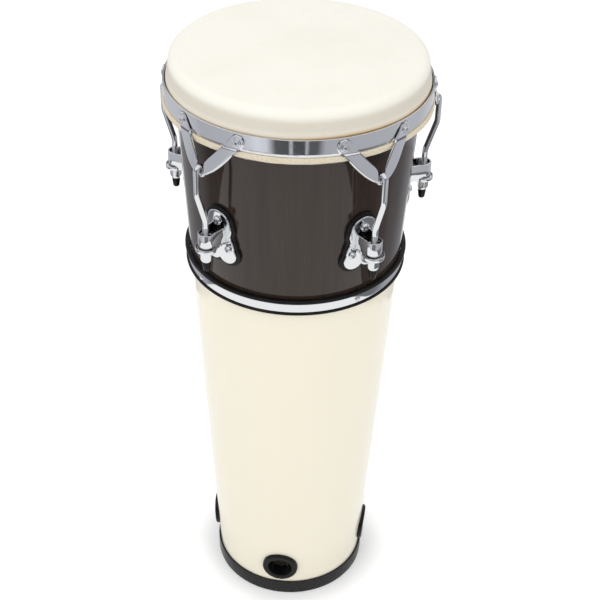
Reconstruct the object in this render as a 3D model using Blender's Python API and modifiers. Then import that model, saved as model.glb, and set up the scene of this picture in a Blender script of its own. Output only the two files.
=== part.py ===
"""Conga drum, built as the real drum is: two tapered wooden shells, a tucked skin
head, a tuning hoop with riveted V-straps, hooked tuning rods, and stamped lugs.

Frame: metres, +Z up, the foot stands on z = 0. The drum's own axis is vertical and
passes through (0, AXIS_Y): one tuning station points to +Y, so the hardware reaches
further back than forward, and AXIS_Y centres the outer box on the origin.
"""

import math

import bmesh
import bpy
from mathutils import Matrix, Vector

MM = 0.001

# General
GAP = 0.3 * MM                 # clearance between pieces that touch
FACETS = 40                    # facets round every large ring, a multiple of 4 and 5
STATION_COUNT = 5              # tuning stations round the drum
PORT_COUNT = 4

# Shells
HEIGHT = 762.5 * MM            # floor to the top of the head
FOOT_RADIUS = 96.0 * MM        # outside of the shell, continued to the floor
SHELL_WALL = 10.0 * MM
BEARING_RADIUS = 8.0 * MM      # rounding of the shell's top edge
BEARING_CHAMFER = 1.6 * MM
BEARING_FACETS = 3             # the skin's shoulder has as many, so the two nest
JOINT_DROP = 255.5 * MM        # from the top of the head down to where the two shells meet
SPIGOT_LENGTH = 12.0 * MM      # the upper shell's tongue inside the lower shell

# Band and trims over the joint
BAND_HEIGHT = 11.8 * MM
BAND_WALL = 4.0 * MM
UPPER_TRIM_HEIGHT = 4.6 * MM
LOWER_TRIM_HEIGHT = 3.0 * MM
TRIM_WALL = 5.8 * MM           # the trims stand further out than the band

# Foot ring, a rubber channel
FOOT_RING_HEIGHT = 21.6 * MM
FOOT_RING_OUTER_WALL = 3.2 * MM
FOOT_RING_INNER_WALL = 2.5 * MM
FOOT_RING_INNER_HEIGHT = 14.0 * MM
FOOT_RING_FLOOR = 5.0 * MM

# Ports
PORT_Z = 52.0 * MM
PORT_AZIMUTH = -4.2            # degrees from the front, towards +X
PORT_HOLE_RADIUS = 20.5 * MM
GROMMET_FLANGE = 3.0 * MM      # how far the flange reaches past the hole's edge
GROMMET_WALL = 4.9 * MM        # from the hole's edge in to the bore
GROMMET_PROUD = 4.5 * MM       # how far it stands out of the shell
GROMMET_INNER_PROUD = 3.0 * MM
GROMMET_ROUND = 1.6 * MM
GROMMET_FACETS = 14

# Head
SKIN = 2.2 * MM
LIP_OVERHANG = 1.7 * MM        # how far the skin lip reaches past the hoop above it
LIP_HEIGHT = 7.0 * MM
LIP_ROUND = 1.4 * MM
COLLAR_CLEARANCE = 1.2 * MM    # from the collar to the hoop that it goes down inside
TUCK_ROUND = 1.0 * MM          # the collar's turn outwards, below the hoop
FLESH_HOOP_HEIGHT = 6.0 * MM

# Tuning hoop
HOOP_RADIUS = 150.0 * MM
HOOP_DROP = 28.4 * MM          # from the top of the head down to the hoop's rim
HOOP_STANDOFF = 7.92 * MM      # from the shell's top edge out to the hoop's inside
HOOP_WALL = 2.0 * MM
HOOP_HEIGHT = 19.8 * MM
HOOP_EDGE = 0.5 * MM

# V-straps
STRAP_WALL = 2.0 * MM
RIVET_SPREAD = 38.0 * MM       # along the hoop, from the station's middle to a rivet
RIVET_DROP = 10.1 * MM         # from the hoop's rim down to the rivet
RIVET_RADIUS = 4.6 * MM
RIVET_HEIGHT = 2.4 * MM
TAB_RADIUS = 8.7 * MM
STRAP_JOGGLE = 2.5 * MM        # height of the step out over the skin lip
STRAP_ARMPIT = (21.2 * MM, 0.6 * MM)       # inner corner: spread, drop below the hoop
STRAP_SHOULDER = (38.8 * MM, 3.4 * MM)     # outer corner: spread, drop below the hoop
STRAP_ELBOW = (31.0 * MM, 12.9 * MM)       # on the lower edge
STRAP_HIP = (18.7 * MM, 9.9 * MM)          # on the lower edge: spread, rise above its lowest
STRAP_CHIN = (10.2 * MM, 3.4 * MM)         # where the lower edge levels out: spread, rise
NOTCH_CLEARANCE = 1.0 * MM     # each side of the rod
NOTCH_HEIGHT = 13.4 * MM
BRIDGE_HEIGHT = 5.0 * MM

# Tuning rods
ROD_RADIUS = 3.5 * MM
ROD_TOP_DROP = 43.1 * MM       # from the hoop's rim down to the hook's top
ROD_STANDOFF = 16.3 * MM       # from the skin lip out to the axis of the upper stretch
ROD_IN_LOOP = 0.6 * MM         # how far the lower stretch stands in front of the loop's centre
ROD_SHIFT_DROP = 36.0 * MM     # from the hook's top down to the S-bend's upper corner
ROD_SHIFT_HEIGHT = 37.0 * MM   # between the S-bend's corners
ROD_BEND_RADIUS = 18.0 * MM
ROD_TIP = 8.0 * MM             # straight tip behind the strap
ROD_SIDES = 8

# Nuts and caps
NUT_HEIGHT = 14.0 * MM
NUT_HEX_HEIGHT = 10.0 * MM     # above the rounding of the lower end
NUT_ACROSS_FLATS = 12.6 * MM
NUT_END_RADIUS = 5.2 * MM
NUT_BORE_CLEARANCE = 0.2 * MM
CAP_WALL = 1.0 * MM
CAP_LENGTH = 12.5 * MM
CAP_ROUND = 3.6 * MM           # radius of the rounded tip
CAP_POCKET_CLEARANCE = 0.5 * MM
CAP_POCKET_SPARE = 3.0 * MM    # room in the pocket below the rod's end
ROD_PAST_NUT = 5.0 * MM        # the rod's end inside the cap

# Lug brackets
LUG_WALL = 2.0 * MM
LUG_HALF_WIDTH = 15.8 * MM
LUG_DROP = 162.5 * MM          # from the top of the head down to a lug's middle
LUG_ARCH_RISE = 6.0 * MM       # from the middle up to the centre of the top arch
LUG_WAIST_DROP = 13.0 * MM     # from the middle down to where the sides turn out to the lobes
LOBE_RADIUS = 12.2 * MM
LOBE_SPREAD = 9.8 * MM
LOBE_DROP = 34.0 * MM          # from the middle down to the lobes' centres
LOBE_END = 35.0                # degrees above level where a lobe's round ends
LOOP_RADIUS = 9.3 * MM         # outside of the loop's round front
LOOP_REACH = 24.6 * MM         # from the shell out to its centre
LOOP_ROOT_HALF_WIDTH = 10.4 * MM
LOOP_HEIGHT = 21.0 * MM
SHELF_DROP = 20.7 * MM         # from the middle down to the shelf's underside, where the nut bears
SHELF_MARGIN = 3.2 * MM        # how far the shelf reaches past the loop
SHELF_NECK_HALF_WIDTH = 7.0 * MM
SHELF_LIP = 3.0 * MM           # height of the rim that stands on the shelf
SHELF_LIP_WALL = 1.4 * MM
WINDOW_MARGIN = 1.0 * MM       # from the window to the loop's top and the shelf's rim
SHELF_HOLE_CLEARANCE = 0.8 * MM

# Gaskets and bolts
GASKET_WALL = 3.0 * MM
GASKET_MARGIN = 4.0 * MM
BOLT_RADIUS = 3.0 * MM
BOLT_CLEARANCE = 0.6 * MM
TOP_BOLT_RISE = 9.0 * MM       # above the lug's middle
EAR_BOLT = (12.5 * MM, 25.0 * MM)          # spread, drop below the lug's middle
TOP_HEAD_RADIUS = 5.3 * MM
EAR_HEAD_RADIUS = 4.4 * MM
HEAD_HEIGHT = 3.2 * MM
BOLT_NUT_RADIUS = 5.5 * MM
BOLT_NUT_HEIGHT = 5.0 * MM
BOLT_SIDES = 6

STRAP_CUTTER_DEPTH = 60.0 * MM # thickness of the flat outline that shapes a bent strap
PLATE_CUTTER_DEPTH = 40.0 * MM # and of those that shape a lug's plates
WINDOW_CUTTER_DEPTH = 30.0 * MM

# Worked out from the sizes above: heights
SHELL_TOP_Z = HEIGHT - SKIN - GAP
HOOP_RIM_Z = HEIGHT - HOOP_DROP
HOOP_BOTTOM_Z = HOOP_RIM_Z - HOOP_HEIGHT
LIP_BOTTOM_Z = HOOP_BOTTOM_Z - GAP - LIP_HEIGHT
ROD_TOP_Z = HOOP_RIM_Z - ROD_TOP_DROP
ROD_SHIFT_TOP_Z = ROD_TOP_Z - ROD_SHIFT_DROP
ROD_SHIFT_BOTTOM_Z = ROD_SHIFT_TOP_Z - ROD_SHIFT_HEIGHT
BRIDGE_Z = ROD_TOP_Z - 2 * ROD_RADIUS - STRAP_WALL / 2 - GAP
JOINT_Z = HEIGHT - JOINT_DROP
LUG_Z = HEIGHT - LUG_DROP
LUG_ARCH_Z = LUG_Z + LUG_ARCH_RISE
LUG_WAIST_Z = LUG_Z - LUG_WAIST_DROP
LOBE_Z = LUG_Z - LOBE_DROP
SHELF_Z = LUG_Z - SHELF_DROP
TOP_BOLT_Z = LUG_Z + TOP_BOLT_RISE
EAR_BOLT_Z = LUG_Z - EAR_BOLT[1]

# Worked out from the sizes above: radii and distances from the drum's axis
SHELL_TOP_RADIUS = HOOP_RADIUS - HOOP_WALL - HOOP_STANDOFF
TAPER = (SHELL_TOP_RADIUS - FOOT_RADIUS) / SHELL_TOP_Z      # gain of the shells' radius with height
COLLAR_RADIUS = HOOP_RADIUS - HOOP_WALL - COLLAR_CLEARANCE
LIP_RADIUS = HOOP_RADIUS + LIP_OVERHANG
LOOP_AXIS = FOOT_RADIUS + TAPER * LUG_Z + LOOP_REACH
SHELF_RADIUS = LOOP_RADIUS + SHELF_MARGIN
ROD_LOWER_AXIS = LOOP_AXIS + ROD_IN_LOOP
ROD_UPPER_AXIS = LIP_RADIUS + ROD_STANDOFF
GROMMET_RADIUS = PORT_HOLE_RADIUS + GROMMET_FLANGE
GROMMET_BORE_RADIUS = PORT_HOLE_RADIUS - GROMMET_WALL
CAP_POCKET_RADIUS = ROD_RADIUS + CAP_POCKET_CLEARANCE
CAP_POCKET_DEPTH = ROD_PAST_NUT + CAP_POCKET_SPARE
CAP_RADIUS = CAP_POCKET_RADIUS + CAP_WALL
AXIS_Y = -(ROD_UPPER_AXIS + ROD_RADIUS - LIP_RADIUS) / 2


def shell_radius(z):
    """Outer radius of the shells at height z."""
    return FOOT_RADIUS + TAPER * z


def arc(centre_x, centre_y, radius, start, end, segments):
    """Points along an arc; start and end are in degrees and both are included."""
    points = []
    for index in range(segments + 1):
        angle = math.radians(start + (end - start) * index / segments)
        points.append((centre_x + radius * math.cos(angle), centre_y + radius * math.sin(angle)))
    return points


def mirrored(points):
    """The same outline on the other side of the line x = 0, in reverse order."""
    return [(-x, y) for x, y in reversed(points)]


def make_material(name, colour, roughness, metallic=0.0):
    """A Principled material."""
    material = bpy.data.materials.new(name)
    material.use_nodes = True
    shader = material.node_tree.nodes["Principled BSDF"]
    shader.inputs["Base Color"].default_value = (*colour, 1.0)
    shader.inputs["Roughness"].default_value = roughness
    shader.inputs["Metallic"].default_value = metallic
    material.diffuse_color = (*colour, 1.0)
    return material


def remove_object(obj):
    """Delete an object that was only a step on the way to another."""
    bpy.data.objects.remove(obj, do_unlink=True)


class Workshop:
    """The collections, the materials and the empties that the pieces hang from."""

    def __init__(self):
        for obj in list(bpy.data.objects):
            bpy.data.objects.remove(obj, do_unlink=True)
        self.parts = self.new_collection("conga")
        self.cutters = self.new_collection("conga_cutters")
        self.brown = make_material("brown_lacquer", (0.060, 0.045, 0.036), 0.12)
        self.ivory = make_material("ivory_lacquer", (0.860, 0.800, 0.640), 0.15)
        self.chrome = make_material("chrome", (0.800, 0.800, 0.800), 0.08, 1.0)
        self.rubber = make_material("black_rubber", (0.020, 0.019, 0.019), 0.60)
        self.skin = make_material("skin", (0.900, 0.850, 0.720), 0.50)
        self.steel = make_material("steel", (0.550, 0.550, 0.550), 0.35, 1.0)
        self.drum_axis = self.new_empty("drum_axis", None)
        self.drum_axis.location = (0.0, AXIS_Y, 0.0)
        self.tuning = self.new_empty("tuning_assembly", self.drum_axis)

    @staticmethod
    def new_collection(name):
        collection = bpy.data.collections.new(name)
        bpy.context.scene.collection.children.link(collection)
        return collection

    def new_empty(self, name, parent):
        empty = bpy.data.objects.new(name, None)
        empty.parent = parent
        self.parts.objects.link(empty)
        return empty

    def add(self, name, mesh, material, parent=None):
        """Put a mesh into the drum as a named piece."""
        if not mesh.materials:
            mesh.materials.append(material)
        obj = bpy.data.objects.new(name, mesh)
        obj.parent = parent or self.drum_axis
        self.parts.objects.link(obj)
        return obj

    def add_cutter(self, name, mesh):
        """Put a mesh into the cutters, hidden from renders and drawn as a wire."""
        obj = bpy.data.objects.new(name, mesh)
        obj.parent = self.drum_axis
        obj.hide_render = True
        obj.display_type = "WIRE"
        self.cutters.objects.link(obj)
        return obj


def evaluated_mesh(obj):
    """The mesh that an object's modifiers or curve settings make, in its own space."""
    depsgraph = bpy.context.evaluated_depsgraph_get()
    depsgraph.update()
    return bpy.data.meshes.new_from_object(obj.evaluated_get(depsgraph))


def shade(mesh, angle=30.0):
    """Smooth shading with sharp edges past the given angle."""
    mesh.shade_smooth()
    mesh.set_sharp_from_angle(angle=math.radians(angle))


def ring_mesh(name, profile, closed=True):
    """The edges of a profile in the XZ plane, for a Screw modifier to turn."""
    mesh = bpy.data.meshes.new(name)
    edges = [(index, index + 1) for index in range(len(profile) - 1)]
    if closed:
        edges.append((len(profile) - 1, 0))
    mesh.from_pydata([(radius, 0.0, z) for radius, z in profile], edges, [])
    return mesh


def add_screw(obj, steps):
    """Turn the object's profile once round its Z axis."""
    screw = obj.modifiers.new("turn", "SCREW")
    screw.steps = steps
    screw.render_steps = steps
    screw.use_merge_vertices = True
    screw.merge_threshold = 1e-5
    screw.use_smooth_shade = True
    return screw


def add_boolean(obj, cutter, operation="DIFFERENCE"):
    """Cut, join or intersect an object with another."""
    boolean = obj.modifiers.new(cutter.name, "BOOLEAN")
    boolean.operation = operation
    boolean.object = cutter
    return boolean


def flat_mesh(name, outlines, low, high):
    """A flat outline in XY, with any holes, made solid between two heights."""
    curve = bpy.data.curves.new(name, "CURVE")
    curve.dimensions = "2D"
    curve.fill_mode = "BOTH"
    curve.extrude = (high - low) / 2
    for outline in outlines:
        spline = curve.splines.new("POLY")
        spline.points.add(len(outline) - 1)
        for point, (x, y) in zip(spline.points, outline):
            point.co = (x, y, 0.0, 1.0)
        spline.use_cyclic_u = True
    obj = bpy.data.objects.new(name, curve)
    bpy.context.scene.collection.objects.link(obj)
    mesh = evaluated_mesh(obj)
    remove_object(obj)
    solid = bmesh.new()
    solid.from_mesh(mesh)
    bmesh.ops.remove_doubles(solid, verts=solid.verts, dist=1e-5)
    bmesh.ops.translate(solid, verts=solid.verts, vec=(0.0, 0.0, (low + high) / 2))
    bmesh.ops.recalc_face_normals(solid, faces=solid.faces)
    solid.to_mesh(mesh)
    solid.free()
    return mesh


def upright(mesh, near):
    """Stand a flat solid up: its Y becomes +Z, and its thickness runs along +Y from near."""
    mesh.transform(Matrix.Rotation(math.radians(90.0), 4, "X"))
    low = min(vertex.co.y for vertex in mesh.vertices)
    mesh.transform(Matrix.Translation((0.0, near - low, 0.0)))
    return mesh


def on_shell(azimuth, z):
    """Matrix of a point on the shell: its Z is the outward normal, its Y leans up.

    azimuth is in degrees from the front (-Y) towards +X.
    """
    turn = math.radians(azimuth)
    tilt = math.atan(TAPER)
    outward = Vector((math.sin(turn), -math.cos(turn), 0.0))
    normal = outward * math.cos(tilt) - Vector((0.0, 0.0, math.sin(tilt)))
    up = outward * math.sin(tilt) + Vector((0.0, 0.0, math.cos(tilt)))
    side = up.cross(normal)
    place = Matrix((side, up, normal)).transposed().to_4x4()
    place.translation = outward * shell_radius(z) + Vector((0.0, 0.0, z))
    return place


def rod_mesh(radius, depth, segments, places):
    """Cylinders of one size, each centred on one of the given matrices."""
    solid = bmesh.new()
    for place in places:
        bmesh.ops.create_cone(solid, cap_ends=True, segments=segments, radius1=radius,
                              radius2=radius, depth=depth, matrix=place)
    mesh = bpy.data.meshes.new("holes")
    solid.to_mesh(mesh)
    solid.free()
    return mesh


def station_azimuth(index):
    """Azimuth of a tuning station in degrees; station 0 is at the back."""
    return 180.0 + 360.0 / STATION_COUNT * index


def spread_azimuth(index, spread, z):
    """Azimuth of a point that lies a distance along the shell from a station."""
    return station_azimuth(index) + math.degrees(spread / shell_radius(z))


def bolt_places(index):
    """Names and matrices of one lug's bolts."""
    spread = EAR_BOLT[0]
    return [
        ("top", on_shell(station_azimuth(index), TOP_BOLT_Z)),
        ("left", on_shell(spread_azimuth(index, -spread, EAR_BOLT_Z), EAR_BOLT_Z)),
        ("right", on_shell(spread_azimuth(index, spread, EAR_BOLT_Z), EAR_BOLT_Z)),
    ]


def add_turned(shop, name, profile, material, steps=FACETS, closed=True, parent=None):
    """A piece turned round the drum's axis."""
    obj = shop.add(name, ring_mesh(name, profile, closed), material, parent)
    add_screw(obj, steps)
    return obj


def build_upper_shell(shop):
    """The brown shell: bearing edge on top, a spigot below, holes for the lug bolts."""
    crown_z = SHELL_TOP_Z - BEARING_RADIUS
    crown_x = shell_radius(crown_z) - BEARING_RADIUS
    inner = shell_radius(SHELL_TOP_Z) - SHELL_WALL
    middle = shell_radius(JOINT_Z) - SHELL_WALL / 2 - GAP / 2
    spigot_z = JOINT_Z - SPIGOT_LENGTH
    profile = [(inner, SHELL_TOP_Z - BEARING_CHAMFER)]
    profile += arc(crown_x, crown_z, BEARING_RADIUS, 90.0, 0.0, BEARING_FACETS)
    profile += [
        (shell_radius(JOINT_Z), JOINT_Z),
        (middle, JOINT_Z),
        (middle, spigot_z),
        (shell_radius(spigot_z) - SHELL_WALL, spigot_z),
    ]
    shell = add_turned(shop, "upper_shell", profile, shop.brown)
    places = [place for index in range(STATION_COUNT) for _, place in bolt_places(index)]
    holes = rod_mesh(BOLT_RADIUS + BOLT_CLEARANCE, 4 * SHELL_WALL, BOLT_SIDES, places)
    add_boolean(shell, shop.add_cutter("bolt_holes", holes))


def build_lower_shell(shop):
    """The ivory shell: a socket for the spigot on top, and four ports near the foot."""
    bottom_z = FOOT_RING_FLOOR + GAP
    socket = shell_radius(JOINT_Z) - SHELL_WALL / 2 + GAP / 2
    socket_z = JOINT_Z - SPIGOT_LENGTH - GAP
    profile = [
        (socket, JOINT_Z - GAP),
        (shell_radius(JOINT_Z - GAP), JOINT_Z - GAP),
        (shell_radius(bottom_z), bottom_z),
        (shell_radius(bottom_z) - SHELL_WALL, bottom_z),
        (shell_radius(socket_z) - SHELL_WALL, socket_z),
        (socket, socket_z),
    ]
    shell = add_turned(shop, "lower_shell", profile, shop.ivory)
    places = [on_shell(PORT_AZIMUTH + 360.0 / PORT_COUNT * index, PORT_Z)
              for index in range(PORT_COUNT)]
    holes = rod_mesh(PORT_HOLE_RADIUS, 4 * SHELL_WALL, GROMMET_FACETS, places)
    add_boolean(shell, shop.add_cutter("port_holes", holes))


def build_grommets(shop):
    """Rubber grommets: a flanged ring that grips the shell's wall round each port."""
    place = on_shell(PORT_AZIMUTH, PORT_Z)
    inner_z = -SHELL_WALL - GROMMET_INNER_PROUD
    body = ring_mesh("grommet_body", [
        (GROMMET_BORE_RADIUS, GROMMET_PROUD),
        (GROMMET_RADIUS - GROMMET_ROUND, GROMMET_PROUD),
        (GROMMET_RADIUS, GROMMET_PROUD - GROMMET_ROUND),
        (GROMMET_RADIUS, inner_z),
        (GROMMET_BORE_RADIUS, inner_z),
    ])
    grommet = shop.add_cutter("grommet_body", body)
    add_screw(grommet, GROMMET_FACETS)
    grommet.matrix_local = place

    low = PORT_Z - 2 * GROMMET_RADIUS
    high = PORT_Z + 2 * GROMMET_RADIUS
    wall = shop.add_cutter("grommet_seat", ring_mesh("grommet_seat", [
        (shell_radius(high) + GAP, high),
        (shell_radius(low) + GAP, low),
        (shell_radius(low) - SHELL_WALL - GAP, low),
        (shell_radius(high) - SHELL_WALL - GAP, high),
    ]))
    add_screw(wall, FACETS)
    core = shop.add_cutter("grommet_neck", rod_mesh(PORT_HOLE_RADIUS - GAP, 6 * SHELL_WALL,
                                                    GROMMET_FACETS, [place]))
    add_boolean(wall, core)
    add_boolean(grommet, wall)
    mesh = evaluated_mesh(grommet)
    mesh.transform(place)
    shade(mesh)
    for step in (grommet, wall, core):
        remove_object(step)
    for index in range(PORT_COUNT):
        piece = shop.add(f"port_grommet_{index}", mesh, shop.rubber)
        piece.rotation_euler.z = 2 * math.pi / PORT_COUNT * index


def build_joint_band(shop):
    """The chrome band over the joint, with a rubber trim above and below it."""
    top = JOINT_Z + BAND_HEIGHT / 2
    bottom = JOINT_Z - BAND_HEIGHT / 2
    add_turned(shop, "joint_band", [
        (shell_radius(top) + GAP, top),
        (shell_radius(top) + BAND_WALL, top),
        (shell_radius(bottom) + GAP + BAND_WALL, bottom),
        (shell_radius(bottom) + GAP, bottom),
    ], shop.chrome)
    low = top + GAP
    high = low + UPPER_TRIM_HEIGHT
    add_turned(shop, "upper_trim", [
        (shell_radius(high) + GAP, high),
        (shell_radius(high) + TRIM_WALL, high - UPPER_TRIM_HEIGHT / 3),
        (shell_radius(low) + GAP + TRIM_WALL, low),
        (shell_radius(low) + GAP, low),
    ], shop.rubber)
    high = bottom - GAP
    low = high - LOWER_TRIM_HEIGHT
    add_turned(shop, "lower_trim", [
        (shell_radius(high) + GAP, high),
        (shell_radius(high) + GAP + TRIM_WALL, high - LOWER_TRIM_HEIGHT / 4),
        (shell_radius(low) + GAP + TRIM_WALL - LOWER_TRIM_HEIGHT / 3, low),
        (shell_radius(low) + GAP, low),
    ], shop.rubber)


def build_foot_ring(shop):
    """The rubber channel that the shell stands in."""
    seat = FOOT_RING_FLOOR
    outer = shell_radius(seat) + GAP + FOOT_RING_OUTER_WALL
    top_outer = shell_radius(FOOT_RING_HEIGHT) + GAP
    inner = shell_radius(seat) - SHELL_WALL - GAP
    add_turned(shop, "foot_ring", [
        (top_outer, FOOT_RING_HEIGHT),
        (outer, FOOT_RING_HEIGHT - FOOT_RING_OUTER_WALL / 2),
        (outer, FOOT_RING_OUTER_WALL / 2),
        (outer - FOOT_RING_OUTER_WALL / 2, 0.0),
        (inner - FOOT_RING_INNER_WALL, 0.0),
        (inner - FOOT_RING_INNER_WALL, FOOT_RING_INNER_HEIGHT),
        (inner, FOOT_RING_INNER_HEIGHT),
        (inner, seat),
        (shell_radius(seat) + GAP, seat),
    ], shop.rubber)


def build_head(shop):
    """The skin: flat crown, rounded shoulder, a collar that slopes out to the hoop and
    goes down inside it, and a lip turned out and down over the flesh hoop; and the flesh
    hoop itself."""
    crown_z = SHELL_TOP_Z - BEARING_RADIUS
    crown_x = shell_radius(crown_z) - BEARING_RADIUS
    outer = BEARING_RADIUS + GAP + SKIN
    inner = BEARING_RADIUS + GAP
    tuck_z = HOOP_BOTTOM_Z - GAP
    under_z = tuck_z - SKIN
    collar = COLLAR_RADIUS - SKIN
    skin = [(0.0, HEIGHT)]
    skin += arc(crown_x, crown_z, outer, 90.0, 0.0, BEARING_FACETS)
    skin += [
        (COLLAR_RADIUS, HOOP_RIM_Z),
        (COLLAR_RADIUS, tuck_z + TUCK_ROUND),
        (COLLAR_RADIUS + TUCK_ROUND, tuck_z),
        (LIP_RADIUS - LIP_ROUND, tuck_z),
        (LIP_RADIUS, tuck_z - LIP_ROUND),
        (LIP_RADIUS, LIP_BOTTOM_Z),
        (LIP_RADIUS - SKIN, LIP_BOTTOM_Z),
        (LIP_RADIUS - SKIN, under_z),
        (collar, under_z),
        (collar, HOOP_RIM_Z - SKIN / 2),
    ]
    skin += arc(crown_x, crown_z, inner, 0.0, 90.0, BEARING_FACETS)
    skin.append((0.0, HEIGHT - SKIN))
    add_turned(shop, "drum_head", skin, shop.skin, closed=False)

    high = under_z - GAP
    low = high - FLESH_HOOP_HEIGHT
    right = LIP_RADIUS - SKIN - GAP
    add_turned(shop, "flesh_hoop", [
        (collar, high),
        (right, high),
        (right, low),
        (collar, low),
    ], shop.steel)


def build_hoop(shop):
    """The flat chrome band that presses the skin's lip down."""
    inner = HOOP_RADIUS - HOOP_WALL
    add_turned(shop, "tuning_hoop", [
        (inner, HOOP_RIM_Z),
        (HOOP_RADIUS - HOOP_EDGE, HOOP_RIM_Z),
        (HOOP_RADIUS, HOOP_RIM_Z - HOOP_EDGE),
        (HOOP_RADIUS, HOOP_BOTTOM_Z),
        (inner, HOOP_BOTTOM_Z),
    ], shop.chrome, parent=shop.tuning)


def strap_outline():
    """Outline of a V-strap laid flat: x runs along the hoop, y is the height."""
    rivet_z = HOOP_RIM_Z - RIVET_DROP
    notch = ROD_RADIUS + NOTCH_CLEARANCE
    radius = HOOP_RADIUS + STRAP_WALL
    lowest = BRIDGE_Z - BRIDGE_HEIGHT
    flat = [
        (notch, BRIDGE_Z),
        (notch, BRIDGE_Z + NOTCH_HEIGHT),
        (STRAP_ARMPIT[0], HOOP_BOTTOM_Z - STRAP_ARMPIT[1]),
    ]
    flat += arc(RIVET_SPREAD, rivet_z, TAB_RADIUS, 190.0, -10.0, 6)
    flat += [
        (STRAP_SHOULDER[0], HOOP_BOTTOM_Z - STRAP_SHOULDER[1]),
        (STRAP_ELBOW[0], HOOP_BOTTOM_Z - STRAP_ELBOW[1]),
        (STRAP_HIP[0], lowest + STRAP_HIP[1]),
        (STRAP_CHIN[0], lowest + STRAP_CHIN[1]),
        (notch, lowest),
    ]
    right = [(radius * math.sin(spread / radius), z) for spread, z in flat]
    return right + mirrored(right)


def strap_section():
    """Section of a V-strap: it leaves the hoop, steps out over the lip, and leans out
    to pass just inside the rod."""
    tab = HOOP_RADIUS + GAP
    lip = LIP_RADIUS + GAP
    hook = ROD_UPPER_AXIS - ROD_RADIUS - GAP - STRAP_WALL
    high = HOOP_RIM_Z + TAB_RADIUS
    low = BRIDGE_Z - 2 * BRIDGE_HEIGHT
    step_z = HOOP_BOTTOM_Z + GAP
    inside = [(tab, high), (tab, step_z + STRAP_JOGGLE), (lip, step_z), (hook, BRIDGE_Z), (hook, low)]
    outside = [(radius + STRAP_WALL, z) for radius, z in inside]
    return outside + inside[::-1]


def build_straps(shop):
    """V-straps with their rivet heads, each riveted to the hoop at two places."""
    radius = HOOP_RADIUS + STRAP_WALL
    strap = shop.add_cutter("strap_blank", ring_mesh("strap_blank", strap_section()))
    add_screw(strap, FACETS)
    outline = flat_mesh("strap_outline", [strap_outline()], 0.0, STRAP_CUTTER_DEPTH)
    shape = shop.add_cutter("strap_outline", upright(outline, radius - STRAP_CUTTER_DEPTH / 2))
    add_boolean(strap, shape, "INTERSECT")
    rivets = bmesh.new()
    face = HOOP_RADIUS + GAP + STRAP_WALL
    for side in (-1, 1):
        turn = Matrix.Rotation(side * RIVET_SPREAD / radius, 4, "Z")
        place = turn @ Matrix.Translation((0.0, face, HOOP_RIM_Z - RIVET_DROP))
        place = place @ Matrix.Rotation(math.radians(-90.0), 4, "X")
        bmesh.ops.create_cone(rivets, cap_ends=True, segments=8, radius1=RIVET_RADIUS,
                              radius2=RIVET_RADIUS / 2, depth=2 * RIVET_HEIGHT - STRAP_WALL,
                              matrix=place)
    rivet_mesh = bpy.data.meshes.new("rivets")
    rivets.to_mesh(rivet_mesh)
    rivets.free()
    heads = shop.add_cutter("rivets", rivet_mesh)
    add_boolean(strap, heads, "UNION")
    mesh = evaluated_mesh(strap)
    shade(mesh)
    for step in (strap, shape, heads):
        remove_object(step)
    for index in range(STATION_COUNT):
        piece = shop.add(f"hoop_strap_{index}", mesh, shop.chrome, shop.tuning)
        piece.rotation_euler.z = 2 * math.pi / STATION_COUNT * index


def rod_route():
    """The rod's axis in the plane of its station, as (distance from the drum, height):
    up through the lug, out along the S-bend, up, and over into the hook."""
    bottom = nut_bottom_z() - ROD_PAST_NUT
    hook_radius = ROD_RADIUS + GAP + STRAP_WALL / 2
    hook_z = ROD_TOP_Z - ROD_RADIUS - hook_radius
    run = ROD_UPPER_AXIS - ROD_LOWER_AXIS
    rise = ROD_SHIFT_TOP_Z - ROD_SHIFT_BOTTOM_Z
    lean = math.degrees(math.atan2(run, rise))
    ease = ROD_BEND_RADIUS * math.tan(math.radians(lean) / 2)
    route = [(ROD_LOWER_AXIS, bottom)]
    route += arc(ROD_LOWER_AXIS + ROD_BEND_RADIUS, ROD_SHIFT_BOTTOM_Z - ease,
                 ROD_BEND_RADIUS, 180.0, 180.0 - lean, 2)
    route += arc(ROD_UPPER_AXIS - ROD_BEND_RADIUS, ROD_SHIFT_TOP_Z + ease,
                 ROD_BEND_RADIUS, -lean, 0.0, 2)
    route += arc(ROD_UPPER_AXIS - hook_radius, hook_z, hook_radius, 0.0, 180.0, 5)
    route.append((ROD_UPPER_AXIS - 2 * hook_radius, hook_z - ROD_TIP))
    return route


def build_rods(shop):
    """The hooked tuning rods."""
    curve = bpy.data.curves.new("tuning_rod", "CURVE")
    curve.dimensions = "3D"
    curve.bevel_depth = ROD_RADIUS
    curve.bevel_resolution = (ROD_SIDES - 4) // 2
    curve.use_fill_caps = True
    route = rod_route()
    spline = curve.splines.new("POLY")
    spline.points.add(len(route) - 1)
    for point, (distance, z) in zip(spline.points, route):
        point.co = (0.0, distance, z, 1.0)
    wire = bpy.data.objects.new("tuning_rod", curve)
    bpy.context.scene.collection.objects.link(wire)
    mesh = evaluated_mesh(wire)
    remove_object(wire)
    weld(mesh)
    shade(mesh, 45.0)
    for index in range(STATION_COUNT):
        piece = shop.add(f"tuning_rod_{index}", mesh, shop.chrome, shop.tuning)
        piece.rotation_euler.z = 2 * math.pi / STATION_COUNT * index


def weld(mesh):
    """Join the loose caps of a tube to its wall."""
    solid = bmesh.new()
    solid.from_mesh(mesh)
    bmesh.ops.remove_doubles(solid, verts=solid.verts, dist=1e-5)
    bmesh.ops.recalc_face_normals(solid, faces=solid.faces)
    solid.to_mesh(mesh)
    solid.free()


def nut_top_z():
    """Where a nut meets the shelf of its lug."""
    return SHELF_Z - GAP


def nut_bottom_z():
    """Lower face of a nut."""
    return nut_top_z() - NUT_HEIGHT


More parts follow.
